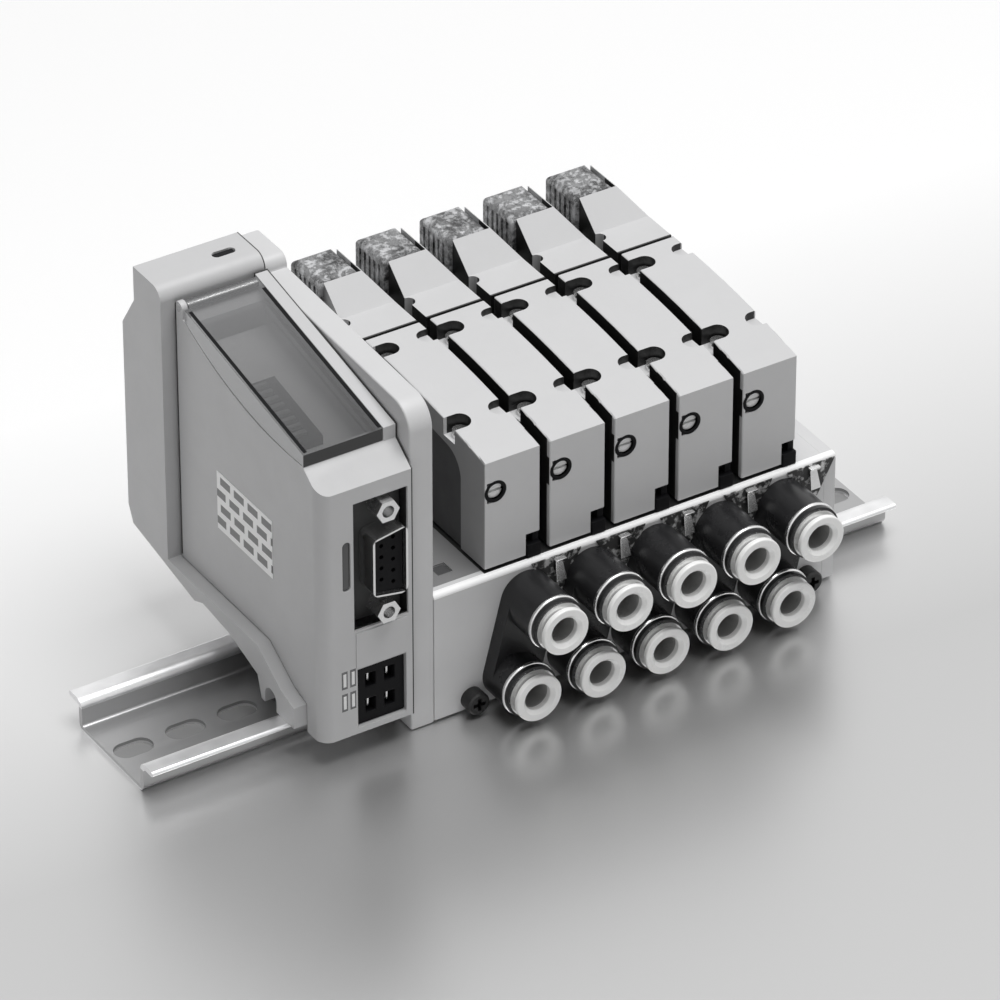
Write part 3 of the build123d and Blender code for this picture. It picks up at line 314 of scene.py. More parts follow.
class Signal:
    """A shader socket that adds Math nodes when it is used in arithmetic."""

    def __init__(self, recipe, socket):
        self.recipe = recipe
        self.socket = socket

    def _math(self, operation, first, second):
        return self.recipe.node("ShaderNodeMath", {"operation": operation}, {0: first, 1: second})

    def __add__(self, other):
        return self._math("ADD", self, other)

    __radd__ = __add__

    def __sub__(self, other):
        return self._math("SUBTRACT", self, other)

    def __rsub__(self, other):
        return self._math("SUBTRACT", other, self)

    def __mul__(self, other):
        return self._math("MULTIPLY", self, other)

    __rmul__ = __mul__

    def __gt__(self, other):
        return self._math("GREATER_THAN", self, other)

    def __lt__(self, other):
        return self._math("LESS_THAN", self, other)


class Recipe:
    """Adds nodes to a material's or world's tree."""

    def __init__(self, owner):
        owner.use_nodes = True
        self.owner = owner
        self.tree = owner.node_tree
        self.tree.nodes.clear()

    def node(self, kind, settings=None, inputs=None, output=0):
        """Add a node, set its settings first and then the values or links of its sockets."""
        node = self.tree.nodes.new(kind)
        for key, value in (settings or {}).items():
            if key == "stops":
                while len(node.color_ramp.elements) < len(value):
                    node.color_ramp.elements.new(1.0)
                for element, (position, level) in zip(node.color_ramp.elements, value):
                    element.position = position
                    element.color = grey(level)
            else:
                setattr(node, key, value)
        for key, value in (inputs or {}).items():
            if isinstance(value, Signal):
                self.tree.links.new(value.socket, node.inputs[key])
            else:
                node.inputs[key].default_value = value
        return Signal(self, node.outputs[output]) if node.outputs else None

    def place(self, stretch=(1.0, 1.0, 1.0)):
        """The piece's own coordinates in metres, stretched along the axes."""
        here = self.node("ShaderNodeTexCoord", output="Object")
        return self.node("ShaderNodeMapping", inputs={"Vector": here, "Scale": stretch})

    def noise(self, scale, detail=2.0, rough=0.5, stretch=(1.0, 1.0, 1.0)):
        """Cloudy pattern from 0 to 1."""
        return self.node(
            "ShaderNodeTexNoise",
            inputs={"Vector": self.place(stretch), "Scale": scale, "Detail": detail, "Roughness": rough},
        )

    def split(self, axis, kind="Object"):
        """One part of the piece's own coordinates, in metres, or of its own normal."""
        here = self.node("ShaderNodeTexCoord", output=kind)
        return self.node("ShaderNodeSeparateXYZ", inputs={"Vector": here}, output=axis)

    def between(self, axis, low, high):
        """1 where the piece's own coordinate lies between low and high, in metres."""
        place = self.split(axis)
        return (place > low) * (place < high)

    def ramp(self, value, *stops):
        """Redraw a value through grey stops given as (position, level)."""
        return self.node("ShaderNodeValToRGB", {"stops": stops}, {"Fac": value})

    def limit(self, value):
        """Hold a value between 0 and 1."""
        return self.ramp(value, (0.0, 0.0), (1.0, 1.0))

    def blend(self, factor, first, second):
        """Mix two colours."""
        return self.node("ShaderNodeMix", {"data_type": "RGBA"}, {0: factor, 6: first, 7: second}, output=2)

    def bump(self, height, distance):
        """Normal of a surface raised by height times distance, in metres."""
        return self.node("ShaderNodeBump", inputs={"Strength": 1.0, "Distance": distance, "Height": height})

    def surface(self, **sockets):
        """Finish a material with a principled surface."""
        named = {key.replace("_", " "): value for key, value in sockets.items()}
        shader = self.node("ShaderNodeBsdfPrincipled", inputs=named)
        self.node("ShaderNodeOutputMaterial", inputs={"Surface": shader})
        return self.owner


def grey(level):
    """A neutral node colour."""
    return (level, level, level, 1.0)


def shade(colour, factor):
    """A property's colour as a node colour, made darker or lighter."""
    return tuple(min(part * factor, 1.0) for part in colour) + (1.0,)


def new_recipe(name):
    """Start the named finish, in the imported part's own material if it has that name."""
    return Recipe(bpy.data.materials.get(name) or bpy.data.materials.new(name))


# Masks of painted shade and painted highlight on the moulded parts, from 0 for the plain finish to 1 for
# full painted shade or highlight


def valve_painted_shade(recipe):
    """Painted shade on the faces of the valves that look into the space between them or into the buttons'
    mouths.

    The seam behind the covers gets painted shade too, and the left side of the first valve gets part of it.
    """
    low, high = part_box(COVERS[0])
    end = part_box(COVERS[-1])[1]
    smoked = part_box("connector_covers")[0]
    button_low, button_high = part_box("override_button_1")
    side_depth = 0.8 * MM
    across = recipe.split("X", "Normal")
    upward = recipe.split("Z", "Normal")
    inner = recipe.between("X", low.x + side_depth, end.x - 0.3 * MM)
    upright = upward * upward < 0.25
    walls = upright * recipe.between("Y", low.y + 1.2 * MM, high.y + 1.6 * MM)
    sideways = across * across > 0.95
    cap_sides = sideways * recipe.between("Y", high.y, smoked.y + 4.0 * MM)
    seam = recipe.between("Y", high.y - 0.15 * MM, high.y + 1.4 * MM)
    mouths = recipe.between("Y", low.y + 0.3 * MM, low.y + 5.5 * MM) * recipe.between(
        "Z", button_low.z - 1.5 * MM, button_high.z + 1.5 * MM
    )
    left_side = (across < -0.7) * recipe.between("X", -FAR, low.x + side_depth)
    # Painted shade: full between the valves, in their mouths and at the seam, partial on the first valve's
    # left side
    painted_shade = (walls + cap_sides + mouths) * inner
    return recipe.limit(painted_shade + seam + left_side * VALVE_SIDE_SHADE)


def base_painted_shade(recipe):
    """Painted shade on the top of the base under the valves and, partly, beside the first of them."""
    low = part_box(COVERS[0])[0]
    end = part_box(COVERS[-1])[1]
    margin = 0.2 * MM
    top = recipe.between("Z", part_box("manifold_base")[1].z - margin, FAR)
    under = recipe.between("X", low.x - margin, end.x + margin) * recipe.between("Y", low.y - 0.15 * MM, FAR)
    beside = recipe.between("X", -FAR, low.x - margin) * recipe.between("Y", low.y + 1.2 * MM, FAR)
    # Painted shade: full under the valves, partial beside the first valve
    return (under + beside * BASE_TOP_SHADE) * top


def base_edge_highlight(recipe):
    """Painted highlight along the top front edge of the base."""
    low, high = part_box("manifold_base")
    depth = 1.5 * MM
    height = 1.1 * MM
    return (recipe.split("Y") < low.y + depth) * (recipe.split("Z") > high.z - height)


def collar_painted_shade(recipe):
    """Inner walls of the release collars behind their flanges, with partial painted shade."""
    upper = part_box("release_collar_upper_1")[0]
    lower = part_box("release_collar_lower_1")[0]
    flange = 2.0 * MM
    in_upper_row = recipe.split("Z") > upper.z
    depth = recipe.split("Y") - in_upper_row * (upper.y - lower.y) - lower.y
    return (depth > flange) * COLLAR_BORE_SHADE


def unit_painted_shade(recipe):
    """Painted shade on the edges of the unit's housings at the seams, and on the walls round the bus
    connector.
    """
    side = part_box("adapter_plate")[0].x
    front_low, front_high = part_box("si_front_housing")
    low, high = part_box("jack_screws")
    edge = 0.6 * MM
    beside = 6.0 * MM
    side_seam = recipe.between("X", side - 0.5 * MM, side)
    rear_seam = recipe.between("Y", front_high.y - edge, front_high.y - 0.01 * MM) * recipe.between(
        "Z", UNIT_JOINT_Z, FAR
    )
    opening = (
        recipe.between("X", low.x - beside, high.x + beside)
        * recipe.between("Y", front_low.y + edge, front_low.y + 25.0 * MM)
        * recipe.between("Z", low.z - 4.0 * MM, high.z + 1.6 * MM)
    )
    return recipe.limit(side_seam + rear_seam + opening)


# Finishes


def moulded_resin(name, colour, roughness, mottle=0.025, coat=0.0, gloss=0.5, pale=None, painted_shade=None):
    """Matt to satin plastic with handling marks and a fine moulded grain.

    Where the pale mask is 1 the resin is painted white as a highlight. Where the shade mask is 1 it is
    almost black, painted shade as if no light came in.
    """
    recipe = new_recipe(name)
    cloud = recipe.noise(38.0, 3.0)
    rubbed = recipe.ramp(recipe.noise(120.0, 6.0, 0.65), (0.42, 0.0), (0.72, 1.0))
    grain = recipe.noise(3100.0, 2.0)
    tone = recipe.blend(cloud, shade(colour, 1 - mottle), shade(colour, 1 + mottle))
    tone = recipe.blend(rubbed * 0.5, tone, shade(colour, 1 - 2 * mottle))
    # Painted highlight: white where the pale mask is 1
    if pale:
        tone = recipe.blend(pale(recipe), tone, WHITE)
    # Painted shade: almost black where the shade mask is 1
    if painted_shade:
        tone = recipe.blend(painted_shade(recipe), tone, shade(colour, 0.02))
    return recipe.surface(
        Base_Color=tone,
        Roughness=roughness + rubbed * 0.1 - cloud * 0.06,
        Specular_IOR_Level=gloss,
        Coat_Weight=coat,
        Coat_Roughness=0.12,
        Normal=recipe.bump(grain, 0.012 * MM),
    )


def folded_zinc(name, colour):
    """Zinc-passivated sheet: fine draw lines along the rail over soft spangle, with painted shade below the
    lips.
    """
    recipe = new_recipe(name)
    lines = recipe.noise(900.0, 4.0, 0.7, stretch=(0.02, 1.0, 1.0))
    spangle = recipe.node(
        "ShaderNodeTexVoronoi", inputs={"Vector": recipe.place(), "Scale": 260.0}, output="Distance"
    )
    cloud = recipe.noise(60.0, 4.0, 0.6)
    tone = recipe.blend(cloud * 0.6 + spangle * 0.4, shade(colour, 0.78), shade(colour, 1.15))
    # Painted shade: darker inside the channel below the lips
    painted_shade_below_lips = recipe.between("Z", 0.5 * MM, 5.6 * MM)
    return recipe.surface(
        Base_Color=recipe.blend(painted_shade_below_lips, tone, shade(colour, 0.52)),
        Metallic=1.0,
        Roughness=0.24 + lines * 0.16 + cloud * 0.08,
        Normal=recipe.bump(lines, 0.01 * MM),
    )


def bare_metal(name, colour, roughness, metallic=1.0):
    """Turned or plated metal with fine scratches."""
    recipe = new_recipe(name)
    scratch = recipe.noise(1500.0, 4.0, 0.7)
    cloud = recipe.noise(180.0, 3.0)
    return recipe.surface(
        Base_Color=recipe.blend(cloud, shade(colour, 0.85), shade(colour, 1.1)),
        Metallic=metallic,
        Roughness=roughness + scratch * 0.12,
        Normal=recipe.bump(scratch, 0.006 * MM),
    )


def spring_steel(name, colour):
    """Bent spring strip: dark patches of painted shade, for the shaded clip pockets, between bright metal
    ones.
    """
    recipe = new_recipe(name)
    patches = recipe.ramp(recipe.noise(480.0, 5.0, 0.65), (0.5, 0.0), (0.62, 1.0))
    # Painted shade in the dark patches
    return recipe.surface(
        Base_Color=recipe.blend(patches, shade(colour, 0.02), shade(colour, 0.8)),
        Metallic=patches * 0.3,
        Roughness=0.5 - patches * 0.2,
        Normal=recipe.bump(patches, 0.02 * MM),
    )


def smoked_window(name, colour):
    """Clear smoked cover with haze, paler to the rear, denser along its left skirt and front lip."""
    recipe = new_recipe(name)
    low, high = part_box("window_cover")
    depth = (recipe.split("Y") - low.y) * (1.0 / (high.y - low.y))
    haze = recipe.noise(60.0, 4.0, 0.6)
    skirt = recipe.split("X", "Normal") < -0.8
    lip = recipe.split("Y", "Normal") < -0.8
    tone = recipe.blend(depth + haze * 0.2 - 0.1, shade(colour, 0.75), shade(colour, 1.9))
    tone = recipe.blend(skirt, tone, shade(colour, 2.6))
    return recipe.surface(
        Base_Color=recipe.blend(lip, tone, shade(colour, 0.1)),
        Alpha=0.38 + haze * 0.08 + skirt * 0.56 + lip * 0.6,
        Roughness=0.06 + haze * 0.06,
        Coat_Weight=0.3,
    )


def smoked_cover(name, colour):
    """Smoked connector cover: veined and cloudy, as a thin moulding over wires looks."""
    recipe = new_recipe(name)
    veins = recipe.ramp(recipe.noise(520.0, 8.0, 0.75), (0.45, 0.0), (0.55, 1.0))
    cloud = recipe.ramp(recipe.noise(210.0, 3.0, 0.6), (0.38, 0.0), (0.62, 1.0))
    return recipe.surface(
        Base_Color=recipe.blend(veins * 0.6 + cloud * 0.4, shade(colour, 0.12), shade(colour, 3.6)),
        Roughness=0.34 + veins * 0.3,
        Normal=recipe.bump(veins, 0.16 * MM),
    )


def coated_board(name, colour):
    """Board with a coat of lacquer over its weave."""
    recipe = new_recipe(name)
    weave = recipe.node("ShaderNodeTexChecker", inputs={"Vector": recipe.place(), "Scale": 3600.0}, output=1)
    cloud = recipe.noise(90.0, 3.0)
    return recipe.surface(
        Base_Color=recipe.blend(cloud, shade(colour, 0.85), shade(colour, 1.1)),
        Roughness=0.35 + cloud * 0.1,
        Normal=recipe.bump(weave, 0.001 * MM),
    )


def wound_coil(name, colour):
    """Enamelled wire in close turns about Y."""
    recipe = new_recipe(name)
    turns = recipe.node(
        "ShaderNodeTexWave",
        {"bands_direction": "Y"},
        {"Vector": recipe.place(), "Scale": 1200.0, "Distortion": 0.3},
        output=1,
    )
    return recipe.surface(
        Base_Color=recipe.blend(turns, shade(colour, 0.5), shade(colour, 1.2)),
        Metallic=0.8,
        Roughness=0.3 + turns * 0.1,
        Normal=recipe.bump(turns, 0.05 * MM),
    )


def label_film(name):
    """Blank label: pale film with rows of plain grey fields."""
    recipe = new_recipe(name)
    cloud = recipe.noise(80.0, 4.0)
    across = recipe.node(
        "ShaderNodeCombineXYZ", inputs={"X": recipe.split("Y"), "Y": recipe.split("Z")}
    )
    fields = recipe.node(
        "ShaderNodeTexBrick",
        {"offset": 0.35},
        {
            "Vector": across,
            "Scale": 1.0,
            "Mortar Size": 0.8 * MM,
            "Brick Width": 5.6 * MM,
            "Row Height": 3.4 * MM,
        },
        output="Fac",
    )
    film = recipe.blend(cloud, grey(0.9), WHITE)
    return recipe.surface(
        Base_Color=recipe.blend(fields, grey(0.14), film),
        Roughness=0.3 + cloud * 0.1,
        Coat_Weight=0.2,
    )


def shell_with_painted_shade(name, colour, border):
    """Plated connector shell that is bright ahead of the border along Y and painted black as shade behind
    it, in the recess.
    """
    recipe = new_recipe(name)
    scratch = recipe.noise(1500.0, 4.0, 0.7)
    # Painted shade: black and not metallic behind the border
    flange = recipe.split("Y") > border
    return recipe.surface(
        Base_Color=recipe.blend(flange, shade(colour, 1.0), shade(colour, 0.012)),
        Metallic=1.0 - flange,
        Roughness=0.18 + scratch * 0.12 + flange * 0.3,
        Normal=recipe.bump(scratch, 0.006 * MM),
    )


def rubber(name):
    """Matt black seal rubber with bloom."""
    recipe = new_recipe(name)
    bloom = recipe.noise(240.0, 5.0, 0.6)
    return recipe.surface(
        Base_Color=recipe.blend(bloom, grey(0.012), grey(0.03)),
        Roughness=0.65 + bloom * 0.2,
        Normal=recipe.bump(bloom, 0.02 * MM),
    )


class ISLAND_OT_mix_finishes(bpy.types.Operator):
    """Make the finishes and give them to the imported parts"""

    bl_idname = "island.mix_finishes"
    bl_label = "Mix Finishes"

    def execute(self, context):
        resin = context.scene.island_resins
        metal = context.scene.island_metals
        # The masks paint shade into the base, unit, covers and collars, and a highlight on the base's front
        # edge
        moulded_resin("base_resin", resin.base, 0.5, pale=base_edge_highlight, painted_shade=base_painted_shade)
        moulded_resin("adapter_resin", resin.adapter, 0.46)
        moulded_resin("unit_resin", resin.unit, 0.48, painted_shade=unit_painted_shade)
        moulded_resin("cover_resin", resin.cover, 0.42, painted_shade=valve_painted_shade)
        moulded_resin("body_resin", resin.body, 0.45)
        moulded_resin("fitting_resin", resin.fitting, 0.3, mottle=0.2, gloss=0.35)
        moulded_resin("collar_resin", resin.collar, 0.3, coat=0.3, painted_shade=collar_painted_shade)
        moulded_resin("button_resin", resin.button, 0.35)
        moulded_resin("connector_resin", resin.black, 0.42, mottle=0.2, gloss=0.08)
        moulded_resin("strip_resin", shade(resin.smoke, 0.5)[:3], 0.35)
        moulded_resin("lens_resin", shade(resin.smoke, 0.8)[:3], 0.2, coat=0.5)
        folded_zinc("zinc_rail", metal.zinc)
        bare_metal("plated_steel", metal.nickel, 0.2)
        spring_steel("clip_steel", metal.nickel)
        shell_with_painted_shade("connector_shell", metal.nickel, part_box("jack_screws")[1].y - 0.05 * MM)
        bare_metal("spool_metal", metal.nickel, 0.25)
        bare_metal("black_steel", metal.blackened, 0.35, metallic=0.6)
        smoked_window("smoked_window", resin.smoke)
        smoked_cover("smoked_cover", resin.smoke)
        coated_board("board_laminate", resin.board)
        wound_coil("coil_copper", metal.copper)
        label_film("label_film")
        rubber("seal_rubber")
        for name, node in NODES.items():
            node.data.materials.clear()
            node.data.materials.append(bpy.data.materials[SLOT_OF[name]])
        NODES["bus_connector_shell"].data.materials[0] = bpy.data.materials["connector_shell"]
        return {"FINISHED"}


# Modelling helpers


def make_active(piece):
    """Select this piece alone."""
    bpy.ops.object.select_all(action="DESELECT")
    piece.select_set(True)
    bpy.context.view_layer.objects.active = piece


def settle(piece, name, body, finish):
    """Put a finished piece's place in its mesh, then name it, colour it and let it ride."""
    make_active(piece)
    bpy.ops.object.transform_apply(location=True, rotation=True, scale=True)
    piece.name = name
    piece.data.materials.clear()
    piece.data.materials.append(bpy.data.materials[finish])
    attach(piece, body)


def station_shifts():
    """Shifts from the first valve to each of the others."""
    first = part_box(COVERS[0])[0]
    return [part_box(name)[0] - first for name in COVERS[1:]]


def add_block(centre, size):
    """Cuboid of a size at a place, active and in object mode."""
    bpy.ops.object.select_all(action="DESELECT")
    bpy.ops.mesh.primitive_cube_add(size=1.0, location=centre, scale=size)
    piece = bpy.context.object
    bpy.ops.object.transform_apply(location=False, rotation=False, scale=True)
    return piece


def add_ring(centre, radius, section, stretch, around, across):
    """Ring that faces the front, with its round section stretched along Y."""
    bpy.ops.object.select_all(action="DESELECT")
    bpy.ops.mesh.primitive_torus_add(
        major_radius=radius,
        minor_radius=section,
        major_segments=around,
        minor_segments=across,
        location=centre,
        rotation=(math.pi / 2, 0.0, 0.0),
    )
    ring = bpy.context.object
    bpy.ops.object.mode_set(mode="EDIT")
    bpy.ops.mesh.select_all(action="SELECT")
    bpy.ops.transform.resize(value=(1.0, stretch, 1.0))
    bpy.ops.object.mode_set(mode="OBJECT")
    bpy.ops.object.shade_smooth()
    return ring


def scale_foot(piece, factor):
    """Make a block's lower face wider or narrower along X."""
    make_active(piece)
    bpy.ops.object.mode_set(mode="EDIT")
    bpy.ops.mesh.select_mode(type="FACE")
    bpy.ops.mesh.select_all(action="DESELECT")
    bpy.ops.object.mode_set(mode="OBJECT")
    for face in piece.data.polygons:
        face.select = face.normal.z < -0.9
    bpy.ops.object.mode_set(mode="EDIT")
    bpy.ops.transform.resize(value=(factor, 1.0, 1.0))
    bpy.ops.object.mode_set(mode="OBJECT")


def round_edges(piece, width, segments=2):
    """Round a piece's sharp edges with a bevel and shade it smooth."""
    make_active(piece)
    bevel = piece.modifiers.new("edges", "BEVEL")
    bevel.width = width
    bevel.segments = segments
    bevel.limit_method = "ANGLE"
    bevel.angle_limit = math.radians(40.0)
    bpy.ops.object.modifier_apply(modifier=bevel.name)
    bpy.ops.object.shade_smooth_by_angle(angle=math.radians(35.0))
    normals = piece.modifiers.new("normals", "WEIGHTED_NORMAL")
    normals.keep_sharp = True
    bpy.ops.object.modifier_apply(modifier=normals.name)


def join_pieces(pieces):
    """Join pieces into the first of them."""
    bpy.ops.object.select_all(action="DESELECT")
    for piece in pieces:
        piece.select_set(True)
    bpy.context.view_layer.objects.active = pieces[0]
    bpy.ops.object.join()
    return pieces[0]


def repeat_piece(piece, name, finish):
    """Settle a piece shaped at the first valve, with a copy at each of the others."""
    shifts = [Vector((0.0, 0.0, 0.0)), *station_shifts()]
    copies = [piece]
    while len(copies) < len(shifts):
        make_active(piece)
        bpy.ops.object.duplicate()
        copies.append(bpy.context.object)
    for index, (copy, shift) in enumerate(zip(copies, shifts)):
        copy.location += shift
        settle(copy, f"{name}_{index + 1}", ROOT, finish)


def softened_copy(name, width):
    """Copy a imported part, round the copy's edges and let it stand for the part."""
    make_active(NODES[name])
    bpy.ops.object.duplicate()
    piece = bpy.context.object
    piece.parent = None
    del piece["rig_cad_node"]
    bpy.ops.object.mode_set(mode="EDIT")
    bpy.ops.mesh.select_all(action="SELECT")
    bpy.ops.mesh.remove_doubles(threshold=0.002 * MM)
    bpy.ops.mesh.dissolve_limited(angle_limit=math.radians(0.6))
    bpy.ops.object.mode_set(mode="OBJECT")
    round_edges(piece, width)
    settle(piece, f"{name}_shaped", BODY_OF[name], SLOT_OF[name])
    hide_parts(name)


# Pieces


class ISLAND_OT_soften_housings(bpy.types.Operator):
    """Round the edges of the housings, the plates and the base"""

    bl_idname = "island.soften_housings"
    bl_label = "Soften Housings"

    def execute(self, context):
        sizes = context.scene.island_sizes
        for name in ("adapter_plate", "si_rear_housing", "si_front_housing"):
            softened_copy(name, sizes.edge_large)
        for name in ("manifold_base", "end_plate"):
            softened_copy(name, sizes.edge_small)
        return {"FINISHED"}


class ISLAND_OT_soften_valves(bpy.types.Operator):
    """Round the edges of the valve covers, pilot caps, fittings and power plug"""

    bl_idname = "island.soften_valves"
    bl_label = "Soften Valves"

    def execute(self, context):
        width = context.scene.island_sizes.edge_small
        for name in COVERS + ["pilot_caps", "port_blocks", "power_plug"]:
            softened_copy(name, width)
        return {"FINISHED"}


class ISLAND_OT_add_label(bpy.types.Operator):
    """Add the blank label on the left side of the interface unit"""

    bl_idname = "island.add_label"
    bl_label = "Add Label"

    def execute(self, context):
        sizes = context.scene.island_sizes
        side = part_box("si_front_housing")[0].x
        label = add_block(
            (side - sizes.label_thickness / 2, SIDE_LABEL_Y, SIDE_LABEL_Z),
            (sizes.label_thickness, sizes.label_length, sizes.label_height),
        )
        round_edges(label, 0.04 * MM, segments=1)
        settle(label, "side_label", ROOT, "label_film")
        return {"FINISHED"}


class ISLAND_OT_add_strips(bpy.types.Operator):
    """Lay dark strips into the label slots and the base's pocket, and a blank panel on the front"""

    bl_idname = "island.add_strips"
    bl_label = "Add Strips"

    def execute(self, context):
        sizes = context.scene.island_sizes
        thickness = sizes.strip_thickness
        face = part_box("si_front_housing")[0].y
        front_size = (1.5 * MM, thickness, 11.6 * MM)
        front = add_block((FRONT_SLOT_X, face + thickness, FRONT_SLOT_Z), front_size)
        round_edges(front, 0.2 * MM)
        settle(front, "front_slot_strip", ROOT, "strip_resin")
        unit_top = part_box("si_rear_housing")[1].z
        top_size = (5.0 * MM, 1.8 * MM, thickness)
        top = add_block((TOP_SLOT_X, TOP_SLOT_Y, unit_top - thickness), top_size)
        round_edges(top, 0.2 * MM)
        settle(top, "top_slot_strip", ROOT, "connector_resin")
        base_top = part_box("manifold_base")[1].z
        pocket_size = (3.3 * MM, 3.3 * MM, thickness)
        pocket = add_block((BASE_POCKET_X, BASE_POCKET_Y, base_top - thickness), pocket_size)
        round_edges(pocket, 0.15 * MM)
        settle(pocket, "base_pocket_plug", ROOT, "strip_resin")
        plug_low, plug_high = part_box("power_plug")
        panel_size = (12.4 * MM, sizes.panel_thickness, 8.8 * MM)
        panel = add_block(
            ((plug_low.x + plug_high.x) / 2, face - 0.1 * MM, plug_high.z + 4.9 * MM), panel_size
        )
        round_edges(panel, 0.1 * MM)
        settle(panel, "blank_panel", ROOT, "unit_resin")
        return {"FINISHED"}


class ISLAND_OT_add_window_edges(bpy.types.Operator):
    """Add thin dark strips along both sides of the window: painted shadow of the gap at its right edge, and
    the dark line at its left edge
    """

    bl_idname = "island.add_trims"
    bl_label = "Add Window Trims"

    def execute(self, context):
        sizes = context.scene.island_sizes
        low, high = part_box("window_cover")
        front = low.y + 0.6 * MM
        back = high.y - 4.6 * MM
        length = (back - front) / math.cos(WINDOW_SLOPE)
        middle = (front + back) / 2
        for side, x in (("left", low.x + 0.9 * MM), ("right", high.x - 0.35 * MM)):
            # Painted shadow: the right strip darkens the gap beside the window
            edge_strip = add_block((x, middle, 0.0), (sizes.edge_strip_width, length, sizes.edge_strip_height))
            round_edges(edge_strip, 0.04 * MM, segments=1)
            edge_strip.rotation_euler.x = WINDOW_SLOPE
            edge_strip.location.z = WINDOW_TOP_Z + (middle - WINDOW_TOP_Y) * math.tan(WINDOW_SLOPE)
            settle(edge_strip, f"window_edge_strip_{side}", "window", "connector_resin")
        return {"FINISHED"}


class ISLAND_OT_add_beads(bpy.types.Operator):
    """Add a bright bead around the mouth of each tube fitting"""

    bl_idname = "island.add_beads"
    bl_label = "Add Fitting Beads"

    def execute(self, context):
        sizes = context.scene.island_sizes
        for row in ("upper", "lower"):
            low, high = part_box(f"release_collar_{row}_1")
            middle = (low + high) / 2
            bead = add_ring(
                (middle.x, low.y + 4.6 * MM, middle.z),
                sizes.bead_ring,
                sizes.bead_radius,
                stretch=1.6,
                around=64,
                across=12,
            )
            repeat_piece(bead, f"fitting_bead_{row}", "plated_steel")
        return {"FINISHED"}


class ISLAND_OT_add_rings(bpy.types.Operator):
    """Add the black ring around each override button"""

    bl_idname = "island.add_rings"
    bl_label = "Add Button Rings"

    def execute(self, context):
        sizes = context.scene.island_sizes
        low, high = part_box("override_button_1")
        middle = (low + high) / 2
        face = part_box(COVERS[0])[0].y
        ring = add_ring(
            (middle.x, face + 0.02 * MM, middle.z),
            (high.x - low.x) / 2 + sizes.button_gap,
            sizes.button_ring,
            stretch=0.3,
            around=48,
            across=10,
        )
        repeat_piece(ring, "button_ring", "connector_resin")
        return {"FINISHED"}


class ISLAND_OT_add_latches(bpy.types.Operator):
    """Add the black latch in the lower right corner of each valve cover"""

    bl_idname = "island.add_latches"
    bl_label = "Add Latches"

    def execute(self, context):
        low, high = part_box(COVERS[0])
        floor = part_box("manifold_base")[1].z
        foot_size = (3.4 * MM, 2.6 * MM, 3.2 * MM)
        foot = add_block((high.x - 1.6 * MM, low.y + 0.9 * MM, floor + 1.7 * MM), foot_size)
        round_edges(foot, 0.2 * MM)
        post_size = (1.5 * MM, 1.6 * MM, 3.2 * MM)
        post = add_block((high.x - 0.8 * MM, low.y + 1.3 * MM, floor + 4.2 * MM), post_size)
        round_edges(post, 0.2 * MM)
        repeat_piece(join_pieces([foot, post]), "latch", "connector_resin")
        return {"FINISHED"}


class ISLAND_OT_add_clips(bpy.types.Operator):
    """Add the plate, dark with painted shade, and the bright tongue of each fitting's spring clip"""

    bl_idname = "island.add_clips"
    bl_label = "Add Clip Plates"

    def execute(self, context):
        sizes = context.scene.island_sizes
        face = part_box("manifold_base")[0].y
        low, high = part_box("fitting_clips")
        plate_x = low.x + 2.6 * MM
        plate_size = (12.4 * MM, sizes.plate_thickness, 8.4 * MM)
        plate = add_block((plate_x, face - sizes.plate_thickness / 2, high.z - 3.9 * MM), plate_size)
        scale_foot(plate, 0.3)
        round_edges(plate, 0.1 * MM)
        repeat_piece(plate, "clip_plate", "clip_steel")
        tongue_x = plate_x + 0.4 * MM
        tongue_size = (1.5 * MM, 0.35 * MM, 5.4 * MM)
        tongue = add_block((tongue_x, face - 1.0 * MM, high.z - 2.6 * MM), tongue_size)
        scale_foot(tongue, 1.7)
        round_edges(tongue, 0.1 * MM)
        tongue.rotation_euler.x = -sizes.tongue_lean
        hook_size = (2.6 * MM, 1.5 * MM, 0.4 * MM)
        hook = add_block((tongue_x, face - 0.9 * MM, high.z - 0.2 * MM), hook_size)
        round_edges(hook, 0.12 * MM)
        repeat_piece(join_pieces([tongue, hook]), "clip_tongue", "plated_steel")
        return {"FINISHED"}


class ISLAND_OT_add_levers(bpy.types.Operator):
    """Add the row of small levers on the switch block"""

    bl_idname = "island.add_levers"
    bl_label = "Add Switch Levers"

    def execute(self, context):
        sizes = context.scene.island_sizes
        low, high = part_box("switch_block")
        middle = (low + high) / 2
        row_length = (high.y - low.y) * 0.92
        row_height = middle.z + 1.1 * MM + sizes.lever_height / 2
        lever_size = (3.2 * MM, 1.2 * MM, sizes.lever_height)
        for index in range(sizes.lever_count):
            along = ((index + 0.5) / sizes.lever_count - 0.5) * row_length
            height = row_height + along * math.tan(WINDOW_SLOPE)
            lever = add_block((middle.x, middle.y + along, height), lever_size)
            round_edges(lever, 0.15 * MM)
            settle(lever, f"switch_lever_{index + 1}", ROOT, "strip_resin")
        return {"FINISHED"}


